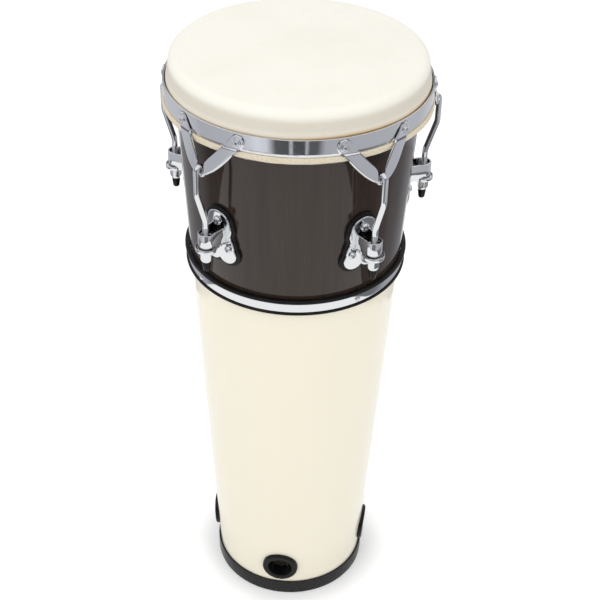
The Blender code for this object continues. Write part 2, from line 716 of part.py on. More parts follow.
def build_nuts(shop):
    """Tuning nuts: a hexagon rounded at its lower end and bored for the rod; and the
    rubber caps under them. Each nut's origin is on its own axis."""
    corner = NUT_ACROSS_FLATS / 2 / math.cos(math.radians(30.0))
    middle = Matrix.Translation((0.0, 0.0, -NUT_HEIGHT / 2))
    nut = shop.add_cutter("nut_body", rod_mesh(corner, NUT_HEIGHT, 6, [middle]))
    nose = shop.add_cutter("nut_nose", ring_mesh("nut_nose", [
        (0.0, GAP),
        (corner + GAP, GAP),
        (corner + GAP, -NUT_HEX_HEIGHT),
        (NUT_END_RADIUS, -NUT_HEIGHT - GAP),
        (0.0, -NUT_HEIGHT - GAP),
    ], closed=False))
    add_screw(nose, 12)
    add_boolean(nut, nose, "INTERSECT")
    bore_radius = (ROD_RADIUS + NUT_BORE_CLEARANCE) / math.cos(math.pi / ROD_SIDES)
    bore = shop.add_cutter("nut_bore", rod_mesh(bore_radius, 4 * NUT_HEIGHT, ROD_SIDES,
                                                [Matrix.Identity(4)]))
    add_boolean(nut, bore)
    nut_mesh = evaluated_mesh(nut)
    shade(nut_mesh)
    for step in (nut, nose, bore):
        remove_object(step)

    profile = [
        (0.0, -CAP_POCKET_DEPTH),
        (CAP_POCKET_RADIUS, -CAP_POCKET_DEPTH),
        (CAP_POCKET_RADIUS, 0.0),
        (CAP_RADIUS, 0.0),
    ]
    profile += arc(0.0, CAP_ROUND - CAP_LENGTH, CAP_ROUND, 0.0, -90.0, 2)
    cap = shop.add_cutter("cap", ring_mesh("cap", profile, closed=False))
    add_screw(cap, ROD_SIDES)
    cap_mesh = evaluated_mesh(cap)
    remove_object(cap)
    for index in range(STATION_COUNT):
        turn = Matrix.Rotation(2 * math.pi / STATION_COUNT * index, 4, "Z")
        spot = turn @ Vector((0.0, ROD_LOWER_AXIS, nut_top_z()))
        nut_piece = shop.add(f"tuning_nut_{index}", nut_mesh, shop.chrome)
        nut_piece.location = spot
        cap_piece = shop.add(f"rod_cap_{index}", cap_mesh, shop.rubber)
        cap_piece.location = spot - Vector((0.0, 0.0, NUT_HEIGHT + GAP))


def lug_outline(margin):
    """Outline of a lug plate laid flat: an arched top, a waist, and two lobes below.
    The gasket has the same outline with a margin."""
    half = LUG_HALF_WIDTH + margin
    radius = LOBE_RADIUS + margin
    cusp = math.degrees(math.acos(LOBE_SPREAD / radius)) - 180.0
    side = arc(LOBE_SPREAD, LOBE_Z, radius, cusp, LOBE_END, 4)
    side.append((half, LUG_WAIST_Z))
    return side + arc(0.0, LUG_ARCH_Z, half, 0.0, 180.0, 5) + mirrored(side)[:-1]


def curved_plate(shop, name, outline, inside, wall):
    """A plate bent round the shell: an outline cut from a ring that lies a distance
    outside the shell's surface."""
    low = LOBE_Z - 2 * LOBE_RADIUS - GASKET_MARGIN
    high = LUG_ARCH_Z + 2 * LUG_HALF_WIDTH
    plate = shop.add_cutter(name, ring_mesh(name, [
        (shell_radius(high) + inside + wall, high),
        (shell_radius(low) + inside + wall, low),
        (shell_radius(low) + inside, low),
        (shell_radius(high) + inside, high),
    ]))
    add_screw(plate, FACETS)
    middle = shell_radius(LUG_ARCH_Z)
    prism = flat_mesh(name + "_outline", [outline], 0.0, PLATE_CUTTER_DEPTH)
    shape = shop.add_cutter(name + "_outline", upright(prism, middle - PLATE_CUTTER_DEPTH / 2))
    add_boolean(plate, shape, "INTERSECT")
    holes = rod_mesh(BOLT_RADIUS + BOLT_CLEARANCE, 4 * SHELL_WALL, BOLT_SIDES,
                     [place for _, place in bolt_places(0)])
    cutter = shop.add_cutter(name + "_holes", holes)
    add_boolean(plate, cutter)
    return plate, [plate, shape, cutter]


def loop_outline(root):
    """The loop seen from above: a half round front and sides that flare to the plate."""
    outer = [(LOOP_ROOT_HALF_WIDTH, root)]
    outer += arc(0.0, LOOP_AXIS, LOOP_RADIUS, 0.0, 180.0, 6)
    outer.append((-LOOP_ROOT_HALF_WIDTH, root))
    inner = [(-LOOP_ROOT_HALF_WIDTH + LUG_WALL, root)]
    inner += arc(0.0, LOOP_AXIS, LOOP_RADIUS - LUG_WALL, 180.0, 0.0, 6)
    inner.append((LOOP_ROOT_HALF_WIDTH - LUG_WALL, root))
    return outer + inner


def shelf_side(root, inset):
    """The shelf seen from above: a round front on a neck that reaches the plate."""
    radius = SHELF_RADIUS - inset
    half = SHELF_NECK_HALF_WIDTH - inset
    neck = math.degrees(math.asin(half / radius))
    points = [(half, root)]
    points += arc(0.0, LOOP_AXIS, radius, neck - 90.0, 270.0 - neck, 6)
    points.append((-half, root))
    return points


def build_lugs(shop):
    """Stamped lugs: a curved plate with a window, a loop round the rod, and a rimmed
    shelf below the loop that the nut bears on. A rubber gasket lies behind each."""
    gasket, steps = curved_plate(shop, "gasket", lug_outline(GASKET_MARGIN), GAP, GASKET_WALL)
    gasket_mesh = evaluated_mesh(gasket)
    shade(gasket_mesh)
    for step in steps:
        remove_object(step)

    inside = GASKET_WALL + 2 * GAP
    bracket, steps = curved_plate(shop, "bracket", lug_outline(0.0), inside, LUG_WALL)
    shelf_top = SHELF_Z + LUG_WALL
    loop_top = shelf_top + LOOP_HEIGHT
    rim_top = shelf_top + SHELF_LIP
    root = shell_radius(loop_top) + inside
    window_half = LOOP_ROOT_HALF_WIDTH - LUG_WALL / 2
    window = flat_mesh("window", [[
        (-window_half, rim_top + WINDOW_MARGIN), (window_half, rim_top + WINDOW_MARGIN),
        (window_half, loop_top + WINDOW_MARGIN), (-window_half, loop_top + WINDOW_MARGIN),
    ]], 0.0, WINDOW_CUTTER_DEPTH)
    hole = arc(0.0, ROD_LOWER_AXIS, ROD_RADIUS + SHELF_HOLE_CLEARANCE, 0.0, 300.0, 5)
    floor = shelf_side(root - 2 * GAP, SHELF_LIP_WALL / 2)
    lip = shelf_side(root - GAP, 0.0) + shelf_side(root - GAP, SHELF_LIP_WALL)[::-1]
    additions = [
        ("window", upright(window, root - WINDOW_CUTTER_DEPTH / 2), "DIFFERENCE"),
        ("loop", flat_mesh("loop", [loop_outline(root)], shelf_top - GAP, loop_top), "UNION"),
        ("shelf", flat_mesh("shelf", [floor, hole], SHELF_Z, shelf_top), "UNION"),
        ("lip", flat_mesh("lip", [lip], SHELF_Z + GAP, rim_top), "UNION"),
    ]
    for name, mesh, operation in additions:
        step = shop.add_cutter(name, mesh)
        add_boolean(bracket, step, operation)
        steps.append(step)
    bracket_mesh = evaluated_mesh(bracket)
    shade(bracket_mesh)
    for step in steps:
        remove_object(step)
    for index in range(STATION_COUNT):
        turn = 2 * math.pi / STATION_COUNT * index
        shop.add(f"lug_gasket_{index}", gasket_mesh, shop.rubber).rotation_euler.z = turn
        shop.add(f"lug_bracket_{index}", bracket_mesh, shop.chrome).rotation_euler.z = turn


def bolt_mesh(shop, head_radius):
    """A lug bolt turned round its own axis: domed head outside the plate, shank through
    the wall, washer and nut inside. Its origin is on the shell's outer surface."""
    seat = GASKET_WALL + LUG_WALL + 3 * GAP
    inner = -SHELL_WALL - 2 * GAP
    bolt = shop.add_cutter("bolt", ring_mesh("bolt", [
        (0.0, seat + HEAD_HEIGHT),
        (head_radius, seat + HEAD_HEIGHT * 0.4),
        (head_radius, seat),
        (BOLT_RADIUS, seat),
        (BOLT_RADIUS, inner),
        (BOLT_NUT_RADIUS, inner),
        (BOLT_NUT_RADIUS, inner - BOLT_NUT_HEIGHT),
        (0.0, inner - BOLT_NUT_HEIGHT),
    ], closed=False))
    add_screw(bolt, BOLT_SIDES)
    mesh = evaluated_mesh(bolt)
    remove_object(bolt)
    return mesh


def build_bolts(shop):
    """Three bolts for each lug."""
    meshes = {"top": bolt_mesh(shop, TOP_HEAD_RADIUS)}
    meshes["left"] = meshes["right"] = bolt_mesh(shop, EAR_HEAD_RADIUS)
    for index in range(STATION_COUNT):
        for side, place in bolt_places(index):
            piece = shop.add(f"lug_bolt_{side}_{index}", meshes[side], shop.chrome)
            piece.matrix_local = place


def build_conga():
    """Build every piece of the drum."""
    shop = Workshop()
    build_upper_shell(shop)
    build_lower_shell(shop)
    build_joint_band(shop)
    build_foot_ring(shop)
    build_head(shop)
    build_hoop(shop)
    build_grommets(shop)
    build_straps(shop)
    build_rods(shop)
    build_nuts(shop)
    build_lugs(shop)
    build_bolts(shop)


build_conga()
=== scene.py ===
"""Looks of a conga drum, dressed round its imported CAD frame.

Every new piece is a surface worked out with numpy: a profile turned round an axis, a section
carried along a path, or a plate between two outlines. Lengths are in metres, +Z is up, and
each piece's place is in its mesh. Azimuths are degrees from the front (-Y) towards +X.
"""

from __future__ import annotations

import logging
import math
from dataclasses import dataclass, field
from enum import Enum
from typing import Sequence

import bmesh
import bpy
import numpy as np
from mathutils import Matrix, Vector

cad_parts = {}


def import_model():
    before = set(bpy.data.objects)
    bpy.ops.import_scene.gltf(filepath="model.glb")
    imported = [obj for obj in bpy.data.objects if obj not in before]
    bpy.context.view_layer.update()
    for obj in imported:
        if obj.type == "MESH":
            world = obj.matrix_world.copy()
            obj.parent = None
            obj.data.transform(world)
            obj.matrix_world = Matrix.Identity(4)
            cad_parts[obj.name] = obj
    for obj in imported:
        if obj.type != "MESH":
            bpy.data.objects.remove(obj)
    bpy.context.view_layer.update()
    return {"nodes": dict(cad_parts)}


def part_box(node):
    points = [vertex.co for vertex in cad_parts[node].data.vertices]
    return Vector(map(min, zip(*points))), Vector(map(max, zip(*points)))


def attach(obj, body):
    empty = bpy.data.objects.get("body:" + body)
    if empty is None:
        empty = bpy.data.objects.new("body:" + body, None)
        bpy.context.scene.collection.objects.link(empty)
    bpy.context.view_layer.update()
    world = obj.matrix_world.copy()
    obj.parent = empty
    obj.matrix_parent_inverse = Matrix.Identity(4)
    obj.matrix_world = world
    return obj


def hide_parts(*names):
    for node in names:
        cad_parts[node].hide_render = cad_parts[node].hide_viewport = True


LOG = logging.getLogger("conga")
MM = 0.001
GAP = 0.3 * MM                       # clearance between pieces
WELD = 0.002 * MM                    # points closer than this are merged
SLIVER = 0.001 * MM                  # edges shorter than this are dissolved
SHARP = 38.0                         # degrees past which an edge is shaded sharp
CUT_SHARP = 30.0                     # the same where holes are cut


class Body(Enum):
    """The moving groups of the drum that a piece can ride on."""

    DRUM = "drum_body"
    TUNING = "tuning_assembly"


class Slot(Enum):
    """The record's material slots."""

    BROWN = "brown_lacquer"
    IVORY = "ivory_lacquer"
    CHROME = "chrome"
    RUBBER = "black_rubber"
    SKIN = "skin"
    STEEL = "steel"


# Mesh helpers


def fillet(corners: Sequence[tuple[float, float, float]], segments: int = 5,
           closed: bool = True) -> np.ndarray:
    """Outline with rounded corners: each corner becomes the arc of the circle that touches
    both of its sides.

    Args:
        corners: (x, y, radius) of each corner in order; radius 0 keeps it sharp.
        segments: steps of each arc.
        closed: whether the last corner joins the first; an open outline keeps its ends.

    Returns:
        The outline's points, an array of shape (n, 2).
    """
    count = len(corners)
    pieces = []
    for index, (x, y, radius) in enumerate(corners):
        here = np.array([x, y])
        is_end = not closed and index in (0, count - 1)
        if radius <= 0 or is_end:
            pieces.append(here[None])
            continue
        before = np.array(corners[index - 1][:2]) - here
        after = np.array(corners[(index + 1) % count][:2]) - here
        before_length, after_length = np.linalg.norm(before), np.linalg.norm(after)
        before, after = before / before_length, after / after_length
        half = math.acos(float(np.clip(before @ after, -1.0, 1.0))) / 2
        reach = min(radius / math.tan(half), 0.49 * before_length, 0.49 * after_length)
        radius = reach * math.tan(half)
        middle = before + after
        centre = here + middle / np.linalg.norm(middle) * radius / math.sin(half)
        start, end = here + before * reach - centre, here + after * reach - centre
        sweep = math.atan2(start[0] * end[1] - start[1] * end[0], float(start @ end))
        angles = math.atan2(start[1], start[0]) + np.linspace(0.0, sweep, segments + 1)
        pieces.append(centre + radius * np.stack([np.cos(angles), np.sin(angles)], axis=1))
    return np.concatenate(pieces)


def grid_mesh(name: str, points: np.ndarray, wrap_rows: bool = False, wrap_columns: bool = True,
              caps: bool = False, sharp: float = SHARP) -> bpy.types.Mesh:
    """Mesh of a grid of points: each face joins a point to its neighbours in row and column.

    Args:
        name: name of the mesh.
        points: array of shape (rows, columns, 3).
        wrap_rows: whether the last row joins the first.
        wrap_columns: whether the last column joins the first.
        caps: whether the first and last rows are closed with one face each.
        sharp: angle in degrees past which an edge is shaded sharp.

    Returns:
        The mesh, with doubles merged and faces outward.
    """
    rows, columns = points.shape[:2]
    index = np.arange(rows * columns).reshape(rows, columns)
    low = index if wrap_rows else index[:-1]
    high = np.roll(index, -1, axis=0) if wrap_rows else index[1:]
    if wrap_columns:
        corners = [low, np.roll(low, -1, axis=1), np.roll(high, -1, axis=1), high]
    else:
        corners = [low[:, :-1], low[:, 1:], high[:, 1:], high[:, :-1]]
    faces = np.stack(corners, axis=-1).reshape(-1, 4).tolist()
    if caps:
        faces += [index[0, ::-1].tolist(), index[-1].tolist()]
    mesh = bpy.data.meshes.new(name)
    mesh.from_pydata(points.reshape(-1, 3), [], faces)
    clean(mesh, sharp)
    return mesh


def clean(mesh: bpy.types.Mesh, sharp: float) -> None:
    """Merge doubles, turn the faces outward and shade smooth with sharp edges.

    Args:
        mesh: the mesh to change.
        sharp: angle in degrees past which an edge is shaded sharp.
    """
    solid = bmesh.new()
    solid.from_mesh(mesh)
    bmesh.ops.remove_doubles(solid, verts=solid.verts, dist=WELD)
    bmesh.ops.dissolve_degenerate(solid, edges=solid.edges, dist=SLIVER)
    bmesh.ops.recalc_face_normals(solid, faces=solid.faces)
    solid.to_mesh(mesh)
    solid.free()
    mesh.shade_smooth()
    mesh.set_sharp_from_angle(angle=math.radians(sharp))


def full_turn(count: int) -> np.ndarray:
    """Even angles round one turn, as a column."""
    return np.linspace(0.0, 2 * np.pi, count, endpoint=False)[:, None]


def spun(angle: np.ndarray, radius: np.ndarray, height: np.ndarray) -> np.ndarray:
    """Points (r cos a, r sin a, h), one row for each angle a.

    Args:
        angle: column of angles.
        radius: radius of the profile's points, one row or a row for each angle.
        height: their heights, in the same way.

    Returns:
        The points, shape (angles, points, 3).
    """
    height = height + np.zeros_like(angle)
    return np.stack([radius * np.cos(angle), radius * np.sin(angle), height], axis=-1)


def lengths_along(points: np.ndarray) -> np.ndarray:
    """Distance of each point of a polyline from its start, along the line."""
    return np.concatenate([[0.0], np.cumsum(np.linalg.norm(np.diff(points, axis=0), axis=1))])


def turned(name: str, profile: np.ndarray, place: Matrix, steps: int = 96, closed: bool = True,
           sharp: float = SHARP) -> bpy.types.Mesh:
    """Solid of revolution: point (r, h) of the profile at angle a is (r cos a, r sin a, h).

    Args:
        name: name of the mesh.
        profile: points (radius, height), shape (n, 2).
        place: matrix that puts the local axis in the drum.
        steps: points round the axis.
        closed: whether the profile is a loop; an open one starts and ends on the axis.
        sharp: angle of sharp edges in degrees.

    Returns:
        The mesh.
    """
    points = spun(full_turn(steps), profile[None, :, 0], profile[None, :, 1])
    mesh = grid_mesh(name, points, wrap_rows=True, wrap_columns=closed, sharp=sharp)
    mesh.transform(place)
    return mesh


def carried(name: str, path: np.ndarray, side: np.ndarray, sections: np.ndarray,
            sharp: float = SHARP) -> bpy.types.Mesh:
    """Section carried along a path that lies in one plane: point (a, b) of a section goes to
    path + a * side + b * (side x tangent).

    Args:
        name: name of the mesh.
        path: points of the path, shape (n, 3).
        side: unit vector square to the plane of the path.
        sections: section at each point of the path, shape (n, m, 2).
        sharp: angle of sharp edges in degrees.

    Returns:
        The mesh, capped at both ends.
    """
    tangent = np.gradient(path, axis=0)
    tangent /= np.linalg.norm(tangent, axis=1, keepdims=True)
    normal = np.cross(side[None], tangent)
    points = path[:, None] + sections[..., :1] * side + sections[..., 1:] * normal[:, None]
    return grid_mesh(name, points, caps=True, sharp=sharp)


def joined(name: str, meshes: Sequence[bpy.types.Mesh]) -> bpy.types.Mesh:
    """One mesh that holds all the given ones.

    Args:
        name: name of the mesh.
        meshes: the meshes to join, which are removed.

    Returns:
        The joined mesh.
    """
    solid = bmesh.new()
    for mesh in meshes:
        solid.from_mesh(mesh)
        bpy.data.meshes.remove(mesh)
    mesh = bpy.data.meshes.new(name)
    solid.to_mesh(mesh)
    solid.free()
    return mesh


def with_rows(profile: np.ndarray, step: float) -> np.ndarray:
    """Closed profile whose long segments are split, so that a hole cut through one of them
    only touches small faces and the wall round it keeps its even shading.

    Args:
        profile: points of the loop, shape (n, 2).
        step: longest segment that is left whole.

    Returns:
        The points with the new ones between them.
    """
    rows = []
    for start, end in zip(profile, np.roll(profile, -1, axis=0)):
        count = max(1, math.ceil(float(np.linalg.norm(end - start)) / step))
        share = np.arange(count)[:, None] / count
        rows.append(start + (end - start) * share)
    return np.concatenate(rows)


def smooth_steps(values: np.ndarray, width: int) -> np.ndarray:
    """Rounded copy of a polyline: each point becomes a Hann-weighted mean of its neighbours.

    Args:
        values: points, shape (n, k).
        width: number of neighbours in the mean, odd.

    Returns:
        The rounded points; the ends stay where they are.
    """
    weight = np.hanning(width + 2)[1:-1]
    weight /= weight.sum()
    half = width // 2
    head = 2 * values[:1] - values[half:0:-1]
    tail = 2 * values[-1:] - values[-2:-half - 2:-1]
    padded = np.concatenate([head, values, tail])
    columns = [np.convolve(column, weight, mode="valid") for column in padded.T]
    return np.stack(columns, axis=1)


# Shader groups and finishes


class NodeBench:
    """A node tree with short calls for adding and joining nodes."""

    def __init__(self, tree: bpy.types.NodeTree) -> None:
        """Keep the tree."""
        self.tree = tree

    def add(self, kind: str, **settings: object) -> bpy.types.Node:
        """Add a node.

        Args:
            kind: the node's type without "ShaderNode".
            settings: properties to set, or inputs by name with spaces as underscores.

        Returns:
            The node.
        """
        node = self.tree.nodes.new("ShaderNode" + kind)
        for key, value in settings.items():
            if hasattr(node, key):
                setattr(node, key, value)
            else:
                self.feed(node.inputs[key.replace("_", " ")], value)
        return node

    def feed(self, socket: bpy.types.NodeSocket, value: object) -> None:
        """Set a socket to a value, or join another socket to it.

        Args:
            socket: the input to feed.
            value: a value, or an output to join to it.
        """
        if isinstance(value, bpy.types.NodeSocket):
            self.tree.links.new(value, socket)
        else:
            socket.default_value = value

    def math(self, operation: str, first: object, second: object = 0.0) -> bpy.types.NodeSocket:
        """Result of a Math node on two values or sockets.

        Args:
            operation: name of the operation.
            first: first value, colour or socket.
            second: the second one.

        Returns:
            The result's socket.
        """
        node = self.tree.nodes.new("ShaderNodeMath")
        node.operation = operation
        self.feed(node.inputs[0], first)
        self.feed(node.inputs[1], second)
        return node.outputs[0]

    def fade(self, value: object, start: float, end: float, low: float = 0.0,
             high: float = 1.0) -> bpy.types.NodeSocket:
        """Smooth change from low to high as the value goes from start to end.

        Args:
            value: what is read.
            start: value at which the change begins.
            end: value at which it ends.
            low: result before the change.
            high: result after it.

        Returns:
            The result's socket.
        """
        node = self.add("MapRange", interpolation_type="SMOOTHSTEP", From_Min=start, From_Max=end,
                        To_Min=low, To_Max=high)
        self.feed(node.inputs["Value"], value)
        return node.outputs["Result"]

    def mix(self, factor: object, first: object, second: object) -> bpy.types.NodeSocket:
        """Colour between two colours.

        Args:
            factor: share of the second colour.
            first: first value, colour or socket.
            second: the second one.

        Returns:
            The colour's socket.
        """
        node = self.tree.nodes.new("ShaderNodeMix")
        node.data_type = "RGBA"
        self.feed(node.inputs["Factor"], factor)
        self.feed(node.inputs[6], first)
        self.feed(node.inputs[7], second)
        return node.outputs[2]

    def noise(self, vector: object, scale: float, detail: float = 3.0,
              roughness: float = 0.5) -> bpy.types.NodeSocket:
        """Value of a Noise texture.

        Args:
            vector: coordinates to read it at.
            scale: its scale.
            detail: its detail.
            roughness: its roughness.

        Returns:
            The value's socket.
        """
        node = self.add("TexNoise", Scale=scale, Detail=detail, Roughness=roughness)
        self.feed(node.inputs["Vector"], vector)
        return node.outputs["Fac"]

    def split(self, vector: bpy.types.NodeSocket) -> bpy.types.Node:
        """Node that gives a vector's X, Y and Z.

        Args:
            vector: the vector's socket.

        Returns:
            The node.
        """
        node = self.add("SeparateXYZ")
        self.feed(node.inputs[0], vector)
        return node

    def reach(self, split: bpy.types.Node, centre_y: float) -> bpy.types.NodeSocket:
        """Distance from the drum's axis: the root of X squared plus Y squared.

        Args:
            split: node that gives the X and Y.
            centre_y: Y of the drum's axis.

        Returns:
            The distance's socket, in metres.
        """
        across = self.math("POWER", split.outputs["X"], 2.0)
        along = self.math("POWER", self.math("SUBTRACT", split.outputs["Y"], centre_y), 2.0)
        return self.math("SQRT", self.math("ADD", across, along))

    def blend(self, factor: object, first: bpy.types.Node, second: bpy.types.Node
              ) -> bpy.types.Node:
        """Mix of two shader nodes.

        Args:
            factor: share of the second shader.
            first: first shader node.
            second: second shader node.

        Returns:
            The mixing node.
        """
        node = self.add("MixShader")
        self.feed(node.inputs[0], factor)
        self.feed(node.inputs[1], first.outputs[0])
        self.feed(node.inputs[2], second.outputs[0])
        return node


class ShaderGroups:
    """The effects that several materials share, each a node group built once."""

    def __init__(self) -> None:
        """Build every group."""
        self.grain = self.build_grain()
        self.smudge = self.build_smudge()
        self.wear = self.build_wear()
        self.dust = self.build_dust()

    @staticmethod
    def new_group(name: str, inputs: dict[str, float], outputs: Sequence[str]
                  ) -> tuple[NodeBench, bpy.types.Node, bpy.types.NodeSocket, bpy.types.Node]:
        """Make an empty group.

        Args:
            name: name of the group.
            inputs: name and default of each value input.
            outputs: names of the value outputs.

        Returns:
            The group's bench, its input node, the socket of its Object coordinates, and its
            output node.
        """
        tree = bpy.data.node_groups.new(name, "ShaderNodeTree")
        for key, value in inputs.items():
            socket = tree.interface.new_socket(key, in_out="INPUT", socket_type="NodeSocketFloat")
            socket.default_value = value
        for key in outputs:
            tree.interface.new_socket(key, in_out="OUTPUT", socket_type="NodeSocketFloat")
        bench = NodeBench(tree)
        source = tree.nodes.new("NodeGroupInput")
        place = bench.add("TexCoord").outputs["Object"]
        return bench, source, place, tree.nodes.new("NodeGroupOutput")

    def build_grain(self) -> bpy.types.NodeTree:
        """Long vertical wood grain: noise stretched along Z, and fine pores on top.

        Returns:
            The group's tree.
        """
        bench, source, place, out = self.new_group(
            "wood_grain", {"Width": 90.0, "Contrast": 1.0}, ["Streaks", "Pores"])
        stretch = bench.add("VectorMath", operation="MULTIPLY")
        bench.feed(stretch.inputs[0], place)
        stretch.inputs[1].default_value = (1.0, 1.0, 0.035)
        wide = bench.add("TexNoise", Detail=6.0, Roughness=0.62, Distortion=0.25)
        bench.feed(wide.inputs["Vector"], stretch.outputs[0])
        bench.feed(wide.inputs["Scale"], source.outputs["Width"])
        spread = bench.math("SUBTRACT", wide.outputs["Fac"], 0.5)
        streaks = bench.math("ADD", bench.math("MULTIPLY", spread, source.outputs["Contrast"]), 0.5)
        bench.feed(out.inputs["Streaks"], streaks)
        bench.feed(out.inputs["Pores"], bench.noise(stretch.outputs[0], 900.0, 2.0))
        return bench.tree

    def build_smudge(self) -> bpy.types.NodeTree:
        """Faint handling marks: a broad noise cut by a finer one.

        Returns:
            The group's tree.
        """
        bench, source, place, out = self.new_group("smudge", {"Scale": 18.0}, ["Mask"])
        broad = bench.add("TexNoise", Detail=4.0, Roughness=0.55)
        bench.feed(broad.inputs["Vector"], place)
        bench.feed(broad.inputs["Scale"], source.outputs["Scale"])
        fine = bench.noise(place, 240.0, 2.0)
        both = bench.math("MULTIPLY", broad.outputs["Fac"], bench.math("ADD", fine, 0.5))
        bench.feed(out.inputs["Mask"], bench.fade(both, 0.35, 0.75))
        return bench.tree

    def build_wear(self) -> bpy.types.NodeTree:
        """Edges that stand out: pointiness past a threshold, broken up by noise.

        Returns:
            The group's tree.
        """
        bench, source, place, out = self.new_group("edge_wear", {"Amount": 0.5}, ["Mask"])
        shape = bench.add("NewGeometry")
        edge = bench.fade(shape.outputs["Pointiness"], 0.52, 0.60)
        broken = bench.noise(place, 160.0, 4.0)
        mask = bench.math("MULTIPLY", edge, bench.fade(broken, 0.35, 0.65))
        bench.feed(out.inputs["Mask"], bench.math("MULTIPLY", mask, source.outputs["Amount"]))
        return bench.tree

    def build_dust(self) -> bpy.types.NodeTree:
        """Dust on faces that look up: the normal's Z times a soft noise.

        Returns:
            The group's tree.
        """
        bench, source, place, out = self.new_group("dust", {"Amount": 0.3}, ["Mask"])
        shape = bench.add("NewGeometry")
        up = bench.fade(bench.split(shape.outputs["Normal"]).outputs["Z"], 0.3, 0.95)
        cloud = bench.fade(bench.noise(place, 45.0, 5.0), 0.4, 0.8)
        mask = bench.math("MULTIPLY", up, cloud)
        bench.feed(out.inputs["Mask"], bench.math("MULTIPLY", mask, source.outputs["Amount"]))
        return bench.tree


Colour = tuple[float, float, float, float]


def shade_of(red: float, green: float, blue: float) -> Colour:
    """Colour with full alpha."""
    return (red, green, blue, 1.0)


class MaterialBench(NodeBench):
    """A material's node tree, with its Principled shader at hand."""

    def __init__(self, name: str, groups: ShaderGroups) -> None:
        """Make the material and keep its shader.

        Args:
            name: name of the material.
            groups: the shared node groups.
        """
        self.material = bpy.data.materials.new(name)
        self.material.use_nodes = True
        super().__init__(self.material.node_tree)
        self.groups = groups
        self.shader = self.tree.nodes["Principled BSDF"]
        self.place = self.add("TexCoord").outputs["Object"]

    def group(self, tree: bpy.types.NodeTree, **inputs: float) -> bpy.types.Node:
        """Place a shared group with its own values.

        Args:
            tree: the group's tree.
            inputs: values of its inputs by name.

        Returns:
            The group's node.
        """
        node = self.tree.nodes.new("ShaderNodeGroup")
        node.node_tree = tree
        for key, value in inputs.items():
            node.inputs[key].default_value = value
        return node

    def surface(self, **inputs: object) -> None:
        """Feed the shader's inputs, named with spaces as underscores."""
        for key, value in inputs.items():
            self.feed(self.shader.inputs[key.replace("_", " ")], value)

    def bump(self, height: object, depth: float, strength: float = 1.0) -> None:
        """Feed the shader's normal from a height.

        Args:
            height: what is read as height.
            depth: distance that the height stands for.
            strength: strength of the effect.
        """
        node = self.add("Bump", Strength=strength, Distance=depth)
        self.feed(node.inputs["Height"], height)
        self.feed(self.shader.inputs["Normal"], node.outputs["Normal"])


@dataclass(frozen=True)
class Lacquer:
    """Gloss lacquer on a wooden shell, with raw wood on the inside."""

    name: str
    light: Colour
    dark: Colour
    grain_contrast: float
    peel: float                      # depth of the lacquer's ripple
    raw_light: Colour = shade_of(0.62, 0.43, 0.24)
    raw_dark: Colour = shade_of(0.40, 0.25, 0.12)

    def material(self, groups: ShaderGroups, shell: "ShellSizes", centre_y: float
                 ) -> bpy.types.Material:
        """Build the material.

        Args:
            groups: the shared node groups.
            shell: sizes that tell the outside from the inside.
            centre_y: Y of the drum's axis.

        Returns:
            The material.
        """
        bench = MaterialBench(self.name, groups)
        grain = bench.group(groups.grain, Width=70.0, Contrast=self.grain_contrast)
        coat = bench.mix(grain.outputs["Streaks"], self.dark, self.light)
        raw_grain = bench.group(groups.grain, Width=110.0, Contrast=2.0)
        raw = bench.mix(raw_grain.outputs["Streaks"], self.raw_dark, self.raw_light)
        split = bench.split(bench.place)
        distance, height = bench.reach(split, centre_y), split.outputs["Z"]
        wall = bench.math("ADD", bench.math("MULTIPLY", height, shell.taper), shell.foot_radius)
        depth = bench.math("SUBTRACT", wall, distance)
        inside = bench.fade(depth, 1.0 * MM, 1.6 * MM)
        crown = bench.fade(height, shell.crown_z - 6 * MM, shell.crown_z - 5 * MM)
        bare = bench.math("MAXIMUM", inside, crown)
        smudge = bench.group(groups.smudge, Scale=9.0)
        colour = bench.mix(bare, coat, raw)
        gloss = bench.fade(smudge.outputs["Mask"], 0.0, 1.0, 0.035, 0.08)
        rough = bench.math("MAXIMUM", gloss, bench.math("MULTIPLY", bare, 0.75))
        bench.surface(Base_Color=colour, Roughness=rough, IOR=1.46)
        ripple = bench.noise(bench.place, 55.0, 2.0)
        pores = bench.math("MULTIPLY", raw_grain.outputs["Pores"], bench.math("MULTIPLY", bare, 6.0))
        bench.bump(bench.math("ADD", ripple, pores), self.peel)
        return bench.material


@dataclass(frozen=True)
class Plating:
    """Polished or dull metal plate."""

    name: str
    colour: Colour
    polish: float                    # roughness where it is clean
    smear: float                     # roughness where it was handled
    # dark grey of dust, of edge wear and of painted shade on edges
    worn_and_shaded: Colour = shade_of(0.22, 0.215, 0.21)

    def material(self, groups: ShaderGroups) -> bpy.types.Material:
        """Build the material from the shared node groups.

        Args:
            groups: the shared node groups.

        Returns:
            The material.
        """
        bench = MaterialBench(self.name, groups)
        smudge = bench.group(groups.smudge, Scale=26.0)
        # edge wear darkens convex edges and rims: partly real wear, partly painted shade that draws dark
        # outlines
        wear = bench.group(groups.wear, Amount=0.6)
        dust = bench.group(groups.dust, Amount=0.05)
        grime_and_shade = bench.math("MAXIMUM", wear.outputs["Mask"], dust.outputs["Mask"])
        rough = bench.fade(smudge.outputs["Mask"], 0.0, 1.0, self.polish, self.smear)
        bench.surface(Base_Color=bench.mix(grime_and_shade, self.colour, self.worn_and_shaded), Metallic=1.0,
                      Roughness=bench.math("ADD", rough, bench.math("MULTIPLY", grime_and_shade, 0.2)))
        bench.bump(bench.noise(bench.place, 70.0, 2.0), 0.012 * MM)
        return bench.material


